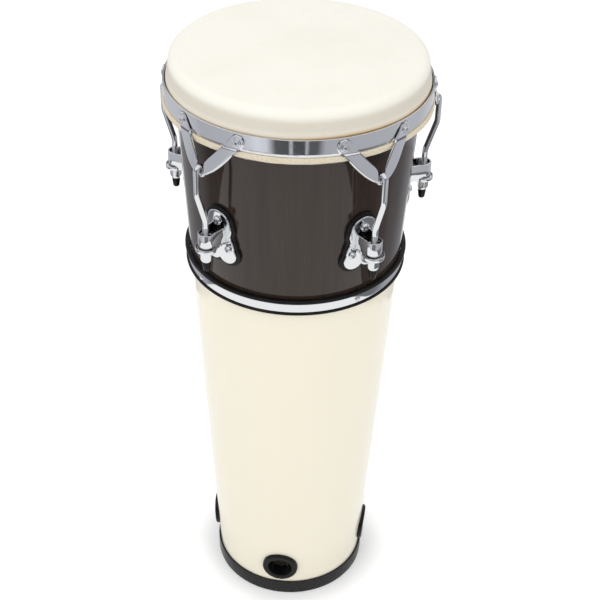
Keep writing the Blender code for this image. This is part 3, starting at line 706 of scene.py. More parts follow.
@dataclass(frozen=True)
class Rubber:
    """Moulded black rubber."""

    name: str
    colour: Colour
    bloom: Colour                    # the greyer tone of its dusty places, its edges and its lowest part
    roughness: float

    def material(self, groups: ShaderGroups) -> bpy.types.Material:
        """Build the material from the shared node groups.

        Args:
            groups: the shared node groups.

        Returns:
            The material.
        """
        bench = MaterialBench(self.name, groups)
        smudge = bench.group(groups.smudge, Scale=30.0)
        dust = bench.group(groups.dust, Amount=0.5)
        wear = bench.group(groups.wear, Amount=0.5)
        height = bench.split(bench.place).outputs["Z"]
        # greyer towards the floor: below 30 mm the rubber turns towards the bloom, 0.55 of the way from 22
        # mm down
        greyer_near_floor = bench.fade(height, 30 * MM, 22 * MM, 0.0, 0.55)
        tone = bench.math("MAXIMUM", dust.outputs["Mask"], wear.outputs["Mask"])
        tone = bench.math("MAXIMUM", tone, greyer_near_floor)
        rough = bench.fade(smudge.outputs["Mask"], 0.0, 1.0, self.roughness, self.roughness + 0.18)
        bench.surface(Base_Color=bench.mix(tone, self.colour, self.bloom), Roughness=rough,
                      Specular_IOR_Level=0.20)
        bench.bump(bench.noise(bench.place, 1400.0, 2.0), 0.03 * MM)
        return bench.material


@dataclass(frozen=True)
class Rawhide:
    """Natural skin: cloudy cream on the crown, painted shade on the shoulder, a painted amber
    glow of light through the collar and a painted shadow line at the hoop.
    """

    name: str
    crown: Colour = shade_of(0.89, 0.87, 0.795)
    cloud: Colour = shade_of(0.86, 0.835, 0.76)
    # painted shade: darker cream for the shoulder, where the skin turns away from the light
    shoulder_shade: Colour = shade_of(0.68, 0.645, 0.56)
    # amber: the skin's own tone in its pores and cut lip, and the painted glow of light through the collar
    collar: Colour = shade_of(0.66, 0.50, 0.29)
    # painted shadow: the dark brown of the gap under the hoop's rim
    grime_and_shade: Colour = shade_of(0.30, 0.17, 0.07)
    cut: Colour = shade_of(0.72, 0.66, 0.53)

    def material(self, groups: ShaderGroups, top_z: float, rim_z: float, hoop_low_z: float
                 ) -> bpy.types.Material:
        """Build the material.

        Args:
            groups: the shared node groups.
            top_z: height of the playing face.
            rim_z: height of the tuning hoop's rim.
            hoop_low_z: height of the tuning hoop's lower edge.

        Returns:
            The material.
        """
        bench = MaterialBench(self.name, groups)
        split = bench.split(bench.place)
        height = split.outputs["Z"]
        clouds = bench.fade(bench.noise(bench.place, 11.0, 5.0, 0.6), 0.35, 0.75)
        base = bench.mix(clouds, self.crown, self.cloud)
        # painted shade: the shoulder is darkened below the crown, less so just above the rim
        shoulder = bench.math("MULTIPLY", bench.fade(height, top_z - 5.5 * MM, top_z - 14.0 * MM),
                              bench.fade(height, rim_z + 1 * MM, rim_z + 9 * MM, 0.35, 1.0))
        base = bench.mix(shoulder, base, self.shoulder_shade)
        near = bench.fade(height, rim_z + 6 * MM, rim_z)
        # painted light and shade near the rim: both are stronger towards +X
        painted_side_weight = bench.fade(split.outputs["X"], -0.10, 0.13, 0.30, 1.0)
        painted_collar_patch = bench.fade(bench.noise(bench.place, 9.0, 3.0), 0.35, 0.60, 0.45, 1.0)
        painted_collar_patch = bench.math("MULTIPLY", painted_collar_patch, painted_side_weight)
        # painted light: an amber glow of light through the skin, in patches just above the rim
        base = bench.mix(bench.math("MULTIPLY", near, painted_collar_patch), base, self.collar)
        # painted shadow: a dark line on the skin where it meets the hoop's rim
        line = bench.fade(height, rim_z + 1.8 * MM, rim_z - 0.6 * MM)
        base = bench.mix(bench.math("MULTIPLY", line, painted_collar_patch), base, self.grime_and_shade)
        lip = bench.fade(height, rim_z - 6 * MM, hoop_low_z + 4 * MM)
        pores = bench.noise(bench.place, 520.0, 3.0)
        fibre = bench.noise(bench.place, 60.0, 5.0, 0.65)
        frayed = bench.mix(bench.fade(pores, 0.42, 0.62, 0.0, 0.45), self.cut, self.collar)
        base = bench.mix(lip, base, frayed)
        # the pores' amber tint is stronger where the painted shoulder shade lies
        tint = bench.fade(pores, 0.3, 0.7, 0.0, 0.10)
        base = bench.mix(bench.math("MULTIPLY", tint, bench.math("ADD", shoulder, 0.6)), base,
                         self.collar)
        rough = bench.fade(fibre, 0.3, 0.7, 0.42, 0.62)
        bench.surface(Base_Color=base, Roughness=rough)
        relief = bench.math("ADD", bench.math("MULTIPLY", pores, 0.35), fibre)
        bench.bump(relief, 0.10 * MM)
        return bench.material


# The drum's places


@dataclass(frozen=True)
class ShellSizes:
    """Sizes of the two tapered shells."""

    foot_radius: float = 96.0 * MM
    taper: float = 0.058
    wall: float = 10.0 * MM
    crown_z: float = 760.0 * MM
    round: float = 8.0 * MM
    joint_z: float = 507.0 * MM
    spigot: float = 12.0 * MM
    foot_z: float = 5.3 * MM

    def radius(self, z: float | np.ndarray) -> float | np.ndarray:
        """Outer radius at a height: it grows evenly from the floor."""
        return self.foot_radius + self.taper * z


@dataclass(frozen=True)
class DrumPlaces:
    """Where things are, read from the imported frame."""

    axis: Vector
    hoop_radius: float
    rim_z: float
    hoop_bottom_z: float
    lip_radius: float
    lip_z: float
    top_z: float
    nut_top_z: float
    nut_bottom_z: float
    station_count: int = 5
    port_count: int = 4
    shell: ShellSizes = field(default_factory=ShellSizes)

    @classmethod
    def from_frame(cls) -> "DrumPlaces":
        """Read the boxes of the hoop, the head and a nut.

        Returns:
            The places.
        """
        hoop_low, hoop_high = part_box("tuning_hoop")
        head_low, head_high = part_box("drum_head")
        nut_low, nut_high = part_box("tuning_nut_0")
        centre = (hoop_low + hoop_high) / 2
        return cls(
            axis=Vector((centre.x, centre.y, 0.0)),
            hoop_radius=(hoop_high.x - hoop_low.x) / 2,
            rim_z=hoop_high.z,
            hoop_bottom_z=hoop_low.z,
            lip_radius=(head_high.x - head_low.x) / 2,
            lip_z=head_low.z,
            top_z=head_high.z,
            nut_top_z=nut_high.z,
            nut_bottom_z=nut_low.z,
        )

    def centre(self) -> Matrix:
        """Matrix of the drum's own axis."""
        return Matrix.Translation(self.axis)

    def station(self, index: int) -> Matrix:
        """Matrix of a tuning station: local +Y points outward from the drum's axis."""
        return self.centre() @ Matrix.Rotation(2 * math.pi / self.station_count * index, 4, "Z")

    def on_shell(self, azimuth: float, z: float) -> Matrix:
        """Matrix of a point on the shell: its Z is the outward normal and its Y leans up.

        Args:
            azimuth: degrees from the front towards +X.
            z: height.

        Returns:
            The matrix.
        """
        turn, tilt = math.radians(azimuth), math.atan(self.shell.taper)
        outward = Vector((math.sin(turn), -math.cos(turn), 0.0))
        normal = outward * math.cos(tilt) - Vector((0.0, 0.0, math.sin(tilt)))
        up = outward * math.sin(tilt) + Vector((0.0, 0.0, math.cos(tilt)))
        place = Matrix((up.cross(normal), up, normal)).transposed().to_4x4()
        place.translation = self.axis + outward * self.shell.radius(z) + Vector((0.0, 0.0, z))
        return place

    def spread_azimuth(self, index: int, spread: float, z: float) -> float:
        """Azimuth of a point that lies a distance along the shell from a station."""
        return 180.0 + 360.0 / self.station_count * index + math.degrees(spread / self.shell.radius(z))


class Dresser:
    """Hands each finished mesh its material and its body, and hides the CAD nodes that it stands for."""

    def __init__(self, materials: dict[Slot, bpy.types.Material]) -> None:
        """Keep the materials and start the count."""
        self.materials = materials
        self.count = 0

    def add(self, name: str, mesh: bpy.types.Mesh, slot: Slot, body: str,
            replaces: Sequence[str] = ()) -> bpy.types.Object:
        """Make a mesh into a piece of the drum.

        Args:
            name: name of the piece.
            mesh: its mesh, in place.
            slot: its material slot.
            body: the body that it rides on.
            replaces: the CAD nodes that it stands for.

        Returns:
            The object.
        """
        mesh.materials.clear()
        mesh.materials.append(self.materials[slot])
        piece = bpy.data.objects.new(name, mesh)
        bpy.context.scene.collection.objects.link(piece)
        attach(piece, body)
        if replaces:
            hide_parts(*replaces)
        self.count += 1
        LOG.info("%s: %d faces on %s", name, len(mesh.polygons), body)
        return piece

    def dress_node(self, node: bpy.types.Object, slot: Slot) -> None:
        """Give a CAD node that stays in view its material.

        Args:
            node: the CAD node.
            slot: its material slot.
        """
        node.data.materials.clear()
        node.data.materials.append(self.materials[slot])
        LOG.info("%s: CAD node kept", node.name)


def cut_mesh(mesh: bpy.types.Mesh, cutters: Sequence[bpy.types.Mesh]) -> bpy.types.Mesh:
    """Cut meshes out of a mesh.

    Args:
        mesh: the mesh to cut.
        cutters: closed meshes whose inside is taken away.

    Returns:
        The cut mesh.
    """
    solid = bpy.data.objects.new("blank", mesh)
    bpy.context.scene.collection.objects.link(solid)
    tool = bpy.data.objects.new("cutter", joined("cutter", cutters))
    bpy.context.scene.collection.objects.link(tool)
    boolean = solid.modifiers.new("cut", "BOOLEAN")
    boolean.object = tool
    graph = bpy.context.evaluated_depsgraph_get()
    result = bpy.data.meshes.new_from_object(solid.evaluated_get(graph))
    result.name = mesh.name
    for step in (solid, tool):
        bpy.data.objects.remove(step, do_unlink=True)
    result.shade_smooth()
    result.set_sharp_from_angle(angle=math.radians(CUT_SHARP))
    return result


# Sub-assemblies


@dataclass
class Shells:
    """The brown upper shell and the ivory lower shell, with their holes."""

    places: DrumPlaces
    port_azimuth: float = -4.2
    port_z: float = 52.0 * MM
    port_radius: float = 20.5 * MM
    bolt_hole: float = 3.4 * MM
    row: float = 7.0 * MM            # height of the walls' rows of faces
    drill_reach: float = 20.0 * MM   # how far a drill goes each way from the outer face

    def drill(self, radius: float) -> np.ndarray:
        """Profile of a straight drill."""
        reach = self.drill_reach
        return np.array([(0.0, -reach), (radius, -reach), (radius, reach), (0.0, reach)])

    def upper_mesh(self, bolts: Sequence[Matrix]) -> bpy.types.Mesh:
        """Turned profile: rounded bearing edge above, spigot below; bolt holes cut through.

        Args:
            bolts: places of the lug bolts.

        Returns:
            The mesh in its place.
        """
        shell = self.places.shell
        top = shell.crown_z
        joint = shell.joint_z
        low = joint - shell.spigot
        middle = shell.radius(joint) - shell.wall / 2 - GAP / 2
        profile = fillet([
            (shell.radius(top), top, shell.round),
            (shell.radius(joint), joint, 0.4 * MM),
            (middle, joint, 0.0),
            (middle, low, 0.4 * MM),
            (shell.radius(low) - shell.wall, low, 0.4 * MM),
            (shell.radius(top) - shell.wall, top, 1.5 * MM),
        ], 8)
        profile = with_rows(profile, self.row)
        mesh = turned("upper_shell_wood", profile, self.places.centre(), 160)
        drill = self.drill(self.bolt_hole)
        holes = [turned("hole", drill, place, 24, closed=False) for place in bolts]
        return cut_mesh(mesh, holes)

    def port_place(self, index: int) -> Matrix:
        """Matrix of a port."""
        azimuth = self.port_azimuth + 360.0 / self.places.port_count * index
        return self.places.on_shell(azimuth, self.port_z)

    def lower_mesh(self) -> bpy.types.Mesh:
        """Turned profile with a socket above; the ports cut through.

        Returns:
            The mesh in its place.
        """
        shell = self.places.shell
        top = shell.joint_z - GAP
        socket = shell.radius(shell.joint_z) - shell.wall / 2 + GAP / 2
        socket_z = shell.joint_z - shell.spigot - GAP
        low = shell.foot_z
        profile = fillet([
            (socket, top, 0.0),
            (shell.radius(top), top, 0.4 * MM),
            (shell.radius(low), low, 0.4 * MM),
            (shell.radius(low) - shell.wall, low, 0.4 * MM),
            (shell.radius(socket_z) - shell.wall, socket_z, 0.4 * MM),
            (socket, socket_z, 0.0),
        ], 4)
        profile = with_rows(profile, self.row)
        mesh = turned("lower_shell_wood", profile, self.places.centre(), 160)
        drill = self.drill(self.port_radius)
        holes = [turned("hole", drill, self.port_place(index), 64, closed=False)
                 for index in range(self.places.port_count)]
        return cut_mesh(mesh, holes)

    def build(self, dresser: Dresser, bolts: Sequence[Matrix]) -> None:
        """Add both shells.

        Args:
            dresser: takes the finished pieces.
            bolts: places of the lug bolts.
        """
        dresser.add("upper_shell_wood", self.upper_mesh(bolts), Slot.BROWN, Body.DRUM.value,
                    ["upper_shell"])
        dresser.add("lower_shell_wood", self.lower_mesh(), Slot.IVORY, Body.DRUM.value,
                    ["lower_shell"])


@dataclass
class Grommets:
    """Rubber grommets in the ports."""

    shells: Shells
    bore: float = 15.6 * MM
    flange: float = 23.5 * MM
    proud: float = 4.5 * MM
    inner_proud: float = 3.0 * MM
    face_height: float = 3.0 * MM    # what stands higher is the front face
    face_follow: float = 0.55        # how far the front face follows the shell's curve
    steps: int = 72

    def mesh(self, index: int) -> bpy.types.Mesh:
        """Turned section whose flanges follow the shell: a point at (x, y) is let in by
        x squared over twice the shell's radius, by as much as its weight says.

        Args:
            index: number of the port.

        Returns:
            The mesh in its place.
        """
        shell = self.shells.places.shell
        neck = self.shells.port_radius - GAP
        back = GAP
        inner = -shell.wall - GAP
        corners = [
            (self.bore, self.proud, 1.8 * MM),
            (self.flange, self.proud, 2.2 * MM),
            (self.flange, back, 0.3 * MM),
            (neck, back, 0.0),
            (neck, inner, 0.0),
            (self.flange, inner, 0.3 * MM),
            (self.flange, inner - self.inner_proud, 1.2 * MM),
            (self.bore, inner - self.inner_proud, 1.2 * MM),
        ]
        profile = fillet(corners, 6)
        angle = full_turn(self.steps)
        radius, height = profile[None, :, 0], profile[None, :, 1]
        weight = np.where(height > self.face_height, self.face_follow, 1.0)
        sag = (radius * np.cos(angle)) ** 2 / (2 * shell.radius(self.shells.port_z)) * weight
        mesh = grid_mesh(f"grommet_{index}", spun(angle, radius, height - sag), wrap_rows=True)
        mesh.transform(self.shells.port_place(index))
        return mesh

    def build(self, dresser: Dresser) -> None:
        """Add one grommet for each port.

        Args:
            dresser: takes the finished pieces.
        """
        for index in range(self.shells.places.port_count):
            dresser.add(f"grommet_{index}", self.mesh(index), Slot.RUBBER, Body.DRUM.value,
                        [f"port_grommet_{index}"])


@dataclass
class JointBand:
    """The chrome band over the joint, its screws, and the rubber trims beside it."""

    places: DrumPlaces
    height: float = 11.8 * MM
    wall: float = 4.0 * MM
    trim_wall: float = 5.8 * MM
    upper_trim: float = 4.6 * MM
    lower_trim: float = 3.0 * MM
    screw_azimuth: float = 36.4
    screw_radius: float = 3.3 * MM
    screw_count: int = 4
    slot_depth: float = 0.8 * MM
    slot_side: float = 0.45 * MM     # width of the slot's sloping side
    steps: int = 200

    def ring(self, name: str, low: float, high: float, wall: float, outer_round: float
             ) -> bpy.types.Mesh:
        """Ring between two heights that lies against the shell.

        Args:
            name: name of the mesh.
            low: height of its lower face.
            high: height of its upper face.
            wall: how far it stands out.
            outer_round: radius of its outer corners.

        Returns:
            The mesh.
        """
        radius = self.places.shell.radius
        profile = fillet([
            (radius(high) + GAP, high, 0.2 * MM),
            (radius(high) + wall, high, outer_round),
            (radius(low) + GAP + wall, low, outer_round),
            (radius(low) + GAP, low, 0.2 * MM),
        ], 6)
        return turned(name, profile, self.places.centre(), self.steps)

    def screw(self, name: str, azimuth: float, z: float) -> bpy.types.Mesh:
        """Domed screw head: a turned quarter-round with a slot pressed in across it.

        Args:
            name: name of the mesh.
            azimuth: degrees from the front towards +X.
            z: height of its middle.

        Returns:
            The mesh in its place.
        """
        profile = fillet([(0.0, 2.0 * MM, 0.0), (0.55 * self.screw_radius, 1.9 * MM, 1.0 * MM),
                          (self.screw_radius, 0.9 * MM, 0.5 * MM),
                          (self.screw_radius, -0.6 * MM, 0.0), (0.0, -0.6 * MM, 0.0)], 6, False)
        dense = np.linspace(0.0, 1.0, 12)[1:-1, None] * (profile[1] - profile[0]) + profile[0]
        profile = np.concatenate([profile[:1], dense, profile[1:]])
        angle = full_turn(48)
        radius, face = profile[None, :, 0], profile[None, :, 1]
        across = np.abs(radius * np.cos(angle)) / self.slot_side
        slot = np.clip(1.6 - across, 0.0, 1.0) * self.slot_depth
        height = face - np.where(face > 1.0 * MM, slot, 0.0)
        mesh = grid_mesh(name, spun(angle, radius, height), wrap_rows=True, wrap_columns=False)
        place = self.places.on_shell(azimuth, z) @ Matrix.Translation((0.0, 0.0, self.wall))
        mesh.transform(place)
        return mesh

    def build(self, dresser: Dresser) -> None:
        """Add the band, its trims and its screws.

        Args:
            dresser: takes the finished pieces.
        """
        joint = self.places.shell.joint_z
        top, bottom = joint + self.height / 2, joint - self.height / 2
        body = Body.DRUM.value
        dresser.add("band", self.ring("band", bottom, top, self.wall, 0.7 * MM), Slot.CHROME,
                    body, ["joint_band"])
        trim = self.ring("trim_above", top + GAP, top + GAP + self.upper_trim, self.trim_wall,
                         1.6 * MM)
        dresser.add("trim_above", trim, Slot.RUBBER, body, ["upper_trim"])
        trim = self.ring("trim_below", bottom - GAP - self.lower_trim, bottom - GAP,
                         self.trim_wall, 1.1 * MM)
        dresser.add("trim_below", trim, Slot.RUBBER, body, ["lower_trim"])
        for index in range(self.screw_count):
            azimuth = self.screw_azimuth + 360.0 / self.screw_count * index
            screw = self.screw(f"band_screw_{index}", azimuth, joint)
            dresser.add(f"band_screw_{index}", screw, Slot.CHROME, body)


@dataclass
class FootRing:
    """The rubber channel under the shell."""

    places: DrumPlaces
    height: float = 21.6 * MM
    inner_height: float = 14.0 * MM
    outer_wall: float = 3.2 * MM
    inner_wall: float = 2.5 * MM
    floor: float = 5.0 * MM

    def mesh(self) -> bpy.types.Mesh:
        """Turned channel with rounded outer edges.

        Returns:
            The mesh in its place.
        """
        shell = self.places.shell
        outer = shell.radius(self.floor) + GAP + self.outer_wall
        inner = shell.radius(self.floor) - shell.wall - GAP
        profile = fillet([
            (shell.radius(self.height) + GAP, self.height, 0.3 * MM),
            (outer, self.height, 1.8 * MM),
            (outer, 0.0, 2.2 * MM),
            (inner - self.inner_wall, 0.0, 1.5 * MM),
            (inner - self.inner_wall, self.inner_height, 0.9 * MM),
            (inner, self.inner_height, 0.9 * MM),
            (inner, self.floor, 0.4 * MM),
            (shell.radius(self.floor) + GAP, self.floor, 0.4 * MM),
        ], 6)
        return turned("foot_rubber", profile, self.places.centre(), 200)

    def build(self, dresser: Dresser) -> None:
        """Add the ring."""
        dresser.add("foot_rubber", self.mesh(), Slot.RUBBER, Body.DRUM.value, ["foot_ring"])


@dataclass
class Head:
    """The skin with its turned-down lip."""

    places: DrumPlaces
    skin: float = 2.2 * MM
    collar_radius: float = 146.8 * MM
    shoulder: float = 10.5 * MM
    lip_round: float = 1.4 * MM
    ragged: float = 0.45 * MM        # height of the cut edge's waves
    steps: int = 240

    def mesh(self) -> bpy.types.Mesh:
        """Turned skin: crown, shoulder, collar, tuck and lip. The cut edge's height waves
        with the angle as a sum of sines.

        Returns:
            The mesh in its place.
        """
        places = self.places
        shell = places.shell
        crown_z = shell.crown_z - shell.round
        crown_x = shell.radius(crown_z) - shell.round
        tuck = places.hoop_bottom_z - GAP
        under = tuck - self.skin
        inner = self.collar_radius - self.skin
        lip = places.lip_radius
        flat_end = crown_x * 0.96
        flat = np.linspace(0.0, flat_end, 14)
        outside = fillet([
            (flat_end, places.top_z, 0.0),
            (crown_x + self.shoulder * 0.98, places.top_z, self.shoulder),
            (self.collar_radius, places.rim_z, 8 * MM),
            (self.collar_radius, tuck, 0.9 * MM),
            (lip, tuck, self.lip_round),
            (lip, places.lip_z, 0.7 * MM),
            (lip - self.skin, places.lip_z, 0.3 * MM),
            (lip - self.skin, under, 0.3 * MM),
            (inner, under, 0.6 * MM),
            (inner, places.rim_z - self.skin / 2, 8 * MM),
            (crown_x + shell.round, places.top_z - self.skin, shell.round),
            (0.0, places.top_z - self.skin, 0.0),
        ], 10, closed=False)
        crown = np.stack([flat[:-1], np.full(len(flat) - 1, places.top_z)], axis=1)
        profile = np.concatenate([crown, outside])
        angle = full_turn(self.steps)
        wave = 0.5 * np.sin(9 * angle + 0.7) + 0.3 * np.sin(23 * angle) + 0.2 * np.sin(51 * angle + 2)
        radius, height = profile[None, :, 0], profile[None, :, 1]
        edge = np.clip((places.lip_z + 2 * MM - height) / (2 * MM), 0.0, 1.0)
        lift = edge * self.ragged * (1.0 + wave)
        mesh = grid_mesh("skin_head", spun(angle, radius, height + lift), wrap_rows=True,
                         wrap_columns=False)
        mesh.transform(places.centre())
        return mesh

    def build(self, dresser: Dresser) -> None:
        """Add the skin."""
        dresser.add("skin_head", self.mesh(), Slot.SKIN, Body.DRUM.value, ["drum_head"])


@dataclass
class Hoop:
    """The flat tuning hoop."""

    places: DrumPlaces
    wall: float = 2.0 * MM
    edge: float = 0.4 * MM

    def mesh(self) -> bpy.types.Mesh:
        """Turned flat bar with rounded edges.

        Returns:
            The mesh in its place.
        """
        outer = self.places.hoop_radius
        rim, low = self.places.rim_z, self.places.hoop_bottom_z
        profile = fillet([
            (outer - self.wall, rim, self.edge),
            (outer, rim, self.edge),
            (outer, low, self.edge / 2),
            (outer - self.wall, low, self.edge / 2),
        ], 5)
        return turned("hoop", profile, self.places.centre(), 240)

    def build(self, dresser: Dresser) -> None:
        """Add the hoop."""
        dresser.add("hoop", self.mesh(), Slot.CHROME, Body.TUNING.value, ["tuning_hoop"])


@dataclass
class Straps:
    """V-straps riveted to the hoop, with a rolled lower edge."""

    places: DrumPlaces
    wall: float = 2.0 * MM
    rivet_spread: float = 38.0 * MM
    rivet_drop: float = 10.1 * MM
    tab_radius: float = 8.7 * MM
    joggle: float = 2.5 * MM
    hook_radius: float = 162.2 * MM  # inside of the strap where the rod passes
    bridge_z: float = 682.7 * MM
    bridge_height: float = 5.0 * MM
    notch: float = 4.5 * MM
    roll: float = 2.6 * MM           # how far the lower edge turns in
    roll_width: float = 3.2 * MM
    rivet_radius: float = 5.2 * MM

    def edges(self) -> tuple[np.ndarray, np.ndarray]:
        """Outer and inner edge of the strap laid flat, from one tab's tip to the other's.

        Returns:
            Two arrays of shape (n, 2): distance along the hoop, and height.
        """
        centre = np.array([self.rivet_spread, self.places.rim_z - self.rivet_drop])
        lean = math.radians(50.5)
        sweep = np.radians(np.linspace(1.0, 90.0, 16))[:, None]
        outer_tab = centre + self.tab_radius * np.hstack([np.cos(lean - sweep), np.sin(lean - sweep)])
        inner_tab = centre + self.tab_radius * np.hstack([np.cos(lean + sweep), np.sin(lean + sweep)])
        low = self.places.hoop_bottom_z
        bottom = self.bridge_z - self.bridge_height
        outer = np.array([
            (42.6 * MM, low + 1.9 * MM), (40.0 * MM, low - 0.4 * MM),
            (36.7 * MM, low - 3.8 * MM), (30.9 * MM, low - 12.9 * MM),
            (25.0 * MM, low - 20.0 * MM), (18.7 * MM, low - 26.7 * MM),
            (10.4 * MM, low - 33.0 * MM), (5.0 * MM, bottom), (0.0, bottom),
        ])
        inner = np.array([
            (26.5 * MM, low + 7.7 * MM), (21.6 * MM, low + 0.3 * MM),
            (19.2 * MM, low - 2.6 * MM), (13.0 * MM, low - 10.0 * MM),
            (8.0 * MM, low - 16.0 * MM), (self.notch, low - 21.0 * MM),
            (self.notch, low - 27.0 * MM), (self.notch, self.bridge_z), (0.0, self.bridge_z),
        ])
        steps = np.linspace(0.0, 1.0, 10)[1:]
        chains = []
        for tab, arm in ((outer_tab, outer), (inner_tab, inner)):
            starts = np.concatenate([tab[-1:], arm[:-1]])
            dense = starts[:, None] + (arm - starts)[:, None] * steps[None, :, None]
            half = np.concatenate([tab, dense.reshape(-1, 2)])
            mirror = half[-2::-1] * np.array([-1.0, 1.0])
            chains.append(smooth_steps(np.concatenate([half, mirror]), 9))
        return chains[0], chains[1]

    def inside_radius(self, z: np.ndarray) -> np.ndarray:
        """Radius of the strap's inner face: on the hoop, out over the lip, then out to the
        rod in a straight line.

        Args:
            z: heights.

        Returns:
            The radius at each height.
        """
        step = self.places.hoop_bottom_z + GAP
        heights = [self.bridge_z - 20 * MM, self.bridge_z, step, step + self.joggle, 1.0]
        tab = self.places.hoop_radius + GAP
        lip = self.places.lip_radius + GAP
        return np.interp(z, heights, [self.hook_radius, self.hook_radius, lip, tab, tab])

    def mesh(self, index: int) -> bpy.types.Mesh:
        """Flat bar between the two edges, wrapped on the inside radius: a point at distance
        w across it and n through it lies at radius inside + n, less the roll.

        Args:
            index: number of the station.

        Returns:
            The mesh in its place.
        """
        outer, inner = self.edges()
        half = self.wall / 2
        width = np.linalg.norm(inner - outer, axis=1)[:, None]
        share = np.linspace(0.0, 1.0, 15)
        across = np.concatenate([share, share[::-1]])
        side = np.concatenate([np.ones_like(share), -np.ones_like(share)])
        distance = across[None] * width
        nearest = np.minimum(distance, width - distance)
        edge_round = np.minimum(0.7 * MM, width / 3)
        drop = np.clip(1.0 - nearest / edge_round, 0.0, 1.0)
        thickness = half - edge_round * (1.0 - np.sqrt(1.0 - drop**2)) * 0.9
        flat = outer[:, None] + (inner - outer)[:, None] * across[None, :, None]
        x = self.places.hoop_radius * np.sin(flat[..., 0] / self.places.hoop_radius)
        z = flat[..., 1]
        low = self.places.hoop_bottom_z
        arm = np.clip((low - 5 * MM - outer[:, 1]) / (8 * MM), 0.0, 1.0)[:, None]
        turn = np.clip(1.0 - distance / self.roll_width, 0.0, 1.0) ** 2
        radius = self.inside_radius(z) + half + side[None] * thickness - self.roll * turn * arm
        y = np.sqrt(radius**2 - x**2)
        mesh = grid_mesh(f"v_strap_{index}", np.stack([x, y, z], axis=-1), caps=True)
        mesh.transform(self.places.station(index))
        return mesh

    def rivets(self, index: int) -> bpy.types.Mesh:
        """Two tubular rivets: a turned flange, a raised ring and a dimple.

        Args:
            index: number of the station.

        Returns:
            The mesh in its place.
        """
        radius = self.rivet_radius
        profile = fillet([
            (0.0, -0.3 * MM, 0.0), (0.28 * radius, -0.3 * MM, 0.2 * MM),
            (0.32 * radius, 2.0 * MM, 0.3 * MM), (0.58 * radius, 2.0 * MM, 1.0 * MM),
            (0.68 * radius, -0.2 * MM, 0.2 * MM), (0.82 * radius, 1.0 * MM, 0.4 * MM),
            (radius, 0.7 * MM, 0.4 * MM), (radius, -0.5 * MM, 0.0), (0.0, -0.5 * MM, 0.0),
        ], 5, closed=False)
        z = self.places.rim_z - self.rivet_drop
        face = self.places.hoop_radius + GAP + self.wall
        meshes = []
        for side in (-1, 1):
            turn = Matrix.Rotation(side * self.rivet_spread / self.places.hoop_radius, 4, "Z")
            place = self.places.station(index) @ turn @ Matrix.Translation((0.0, face, z))
            place = place @ Matrix.Rotation(math.radians(-90.0), 4, "X")
            meshes.append(turned("rivet", profile, place, 32, closed=False))
        return joined(f"rivets_{index}", meshes)

    def build(self, dresser: Dresser) -> None:
        """Add a strap and its rivets at each station.

        Args:
            dresser: takes the finished pieces.
        """
        for index in range(self.places.station_count):
            dresser.add(f"v_strap_{index}", self.mesh(index), Slot.CHROME, Body.TUNING.value,
                        [f"hoop_strap_{index}"])
            dresser.add(f"rivets_{index}", self.rivets(index), Slot.CHROME, Body.TUNING.value)


@dataclass
class Rods:
    """Hooked tuning rods, threaded at their lower end."""

    places: DrumPlaces
    radius: float = 3.5 * MM
    lower_axis: float = 156.0 * MM
    upper_axis: float = 168.0 * MM
    bend_low_z: float = 618.0 * MM
    bend_high_z: float = 655.0 * MM
    bend_radius: float = 18.0 * MM
    top_z: float = 691.0 * MM
    tip: float = 8.0 * MM
    past_nut: float = 5.0 * MM
    thread_top_z: float = 609.0 * MM
    pitch: float = 1.25 * MM
    thread_depth: float = 0.38 * MM
    threaded_end: float = 80.0 * MM  # longest stretch from the lower end that has a thread
    chamfer: float = 1.2 * MM        # length of the chamfer at both ends
    chamfer_share: float = 0.28      # share of the radius that it takes away
    sides: int = 28

    def route(self) -> np.ndarray:
        """The rod's axis in its plane: up through the lug, out along the S-bend, up, and
        over into the hook. Points are (distance from the drum, height), evenly spaced.

        Returns:
            The points, shape (n, 2).
        """
        hook = self.radius + GAP + 1.0 * MM
        hook_z = self.top_z - self.radius
        corners = fillet([
            (self.lower_axis, self.places.nut_bottom_z - self.past_nut, 0.0),
            (self.lower_axis, self.bend_low_z, self.bend_radius),
            (self.upper_axis, self.bend_high_z, self.bend_radius),
            (self.upper_axis, hook_z, hook * 0.999),
            (self.upper_axis - 2 * hook, hook_z, hook * 0.999),
            (self.upper_axis - 2 * hook, hook_z - hook - self.tip, 0.0),
        ], 14, closed=False)
        length = lengths_along(corners)
        keep = np.concatenate([[True], np.diff(length) > 1e-7])
        length, corners = length[keep], corners[keep]
        thread = self.thread_top_z - corners[0, 1]
        fine = np.arange(0.0, thread, self.pitch / 7)
        even = np.concatenate([fine, np.arange(thread, length[-1], 1.2 * MM), length[-1:]])
        return np.stack([np.interp(even, length, corners[:, axis]) for axis in (0, 1)], axis=1)

    def mesh(self, index: int) -> bpy.types.Mesh:
        """Round section carried along the route. Below the thread's top its radius follows
        the cosine of height over pitch less the angle; both ends are chamfered.

        Args:
            index: number of the station.

        Returns:
            The mesh in its place.
        """
        route = self.route()
        angle = full_turn(self.sides)[:, 0]
        length = lengths_along(route)
        left = np.minimum(length, length[-1] - length)
        end = 1.0 - self.chamfer_share * np.clip(1.0 - left / self.chamfer, 0.0, 1.0)
        threaded = np.clip((self.thread_top_z - route[:, 1]) / (1.5 * MM), 0.0, 1.0)
        threaded = np.where(length < self.threaded_end, threaded, 0.0)
        phase = 2 * np.pi * route[:, 1:] / self.pitch - angle[None]
        groove = self.thread_depth * (0.5 - 0.5 * np.cos(phase)) * threaded[:, None]
        radius = self.radius * end[:, None] - groove
        sections = np.stack([radius * np.cos(angle), radius * np.sin(angle)], axis=-1)
        path = np.stack([np.zeros(len(route)), route[:, 0], route[:, 1]], axis=1)
        mesh = carried(f"hook_rod_{index}", path, np.array([1.0, 0.0, 0.0]), sections, 50.0)
        mesh.transform(self.places.station(index))
        return mesh

    def build(self, dresser: Dresser) -> None:
        """Add a rod at each station.

        Args:
            dresser: takes the finished pieces.
        """
        for index in range(self.places.station_count):
            dresser.add(f"hook_rod_{index}", self.mesh(index), Slot.CHROME, Body.TUNING.value,
                        [f"tuning_rod_{index}"])


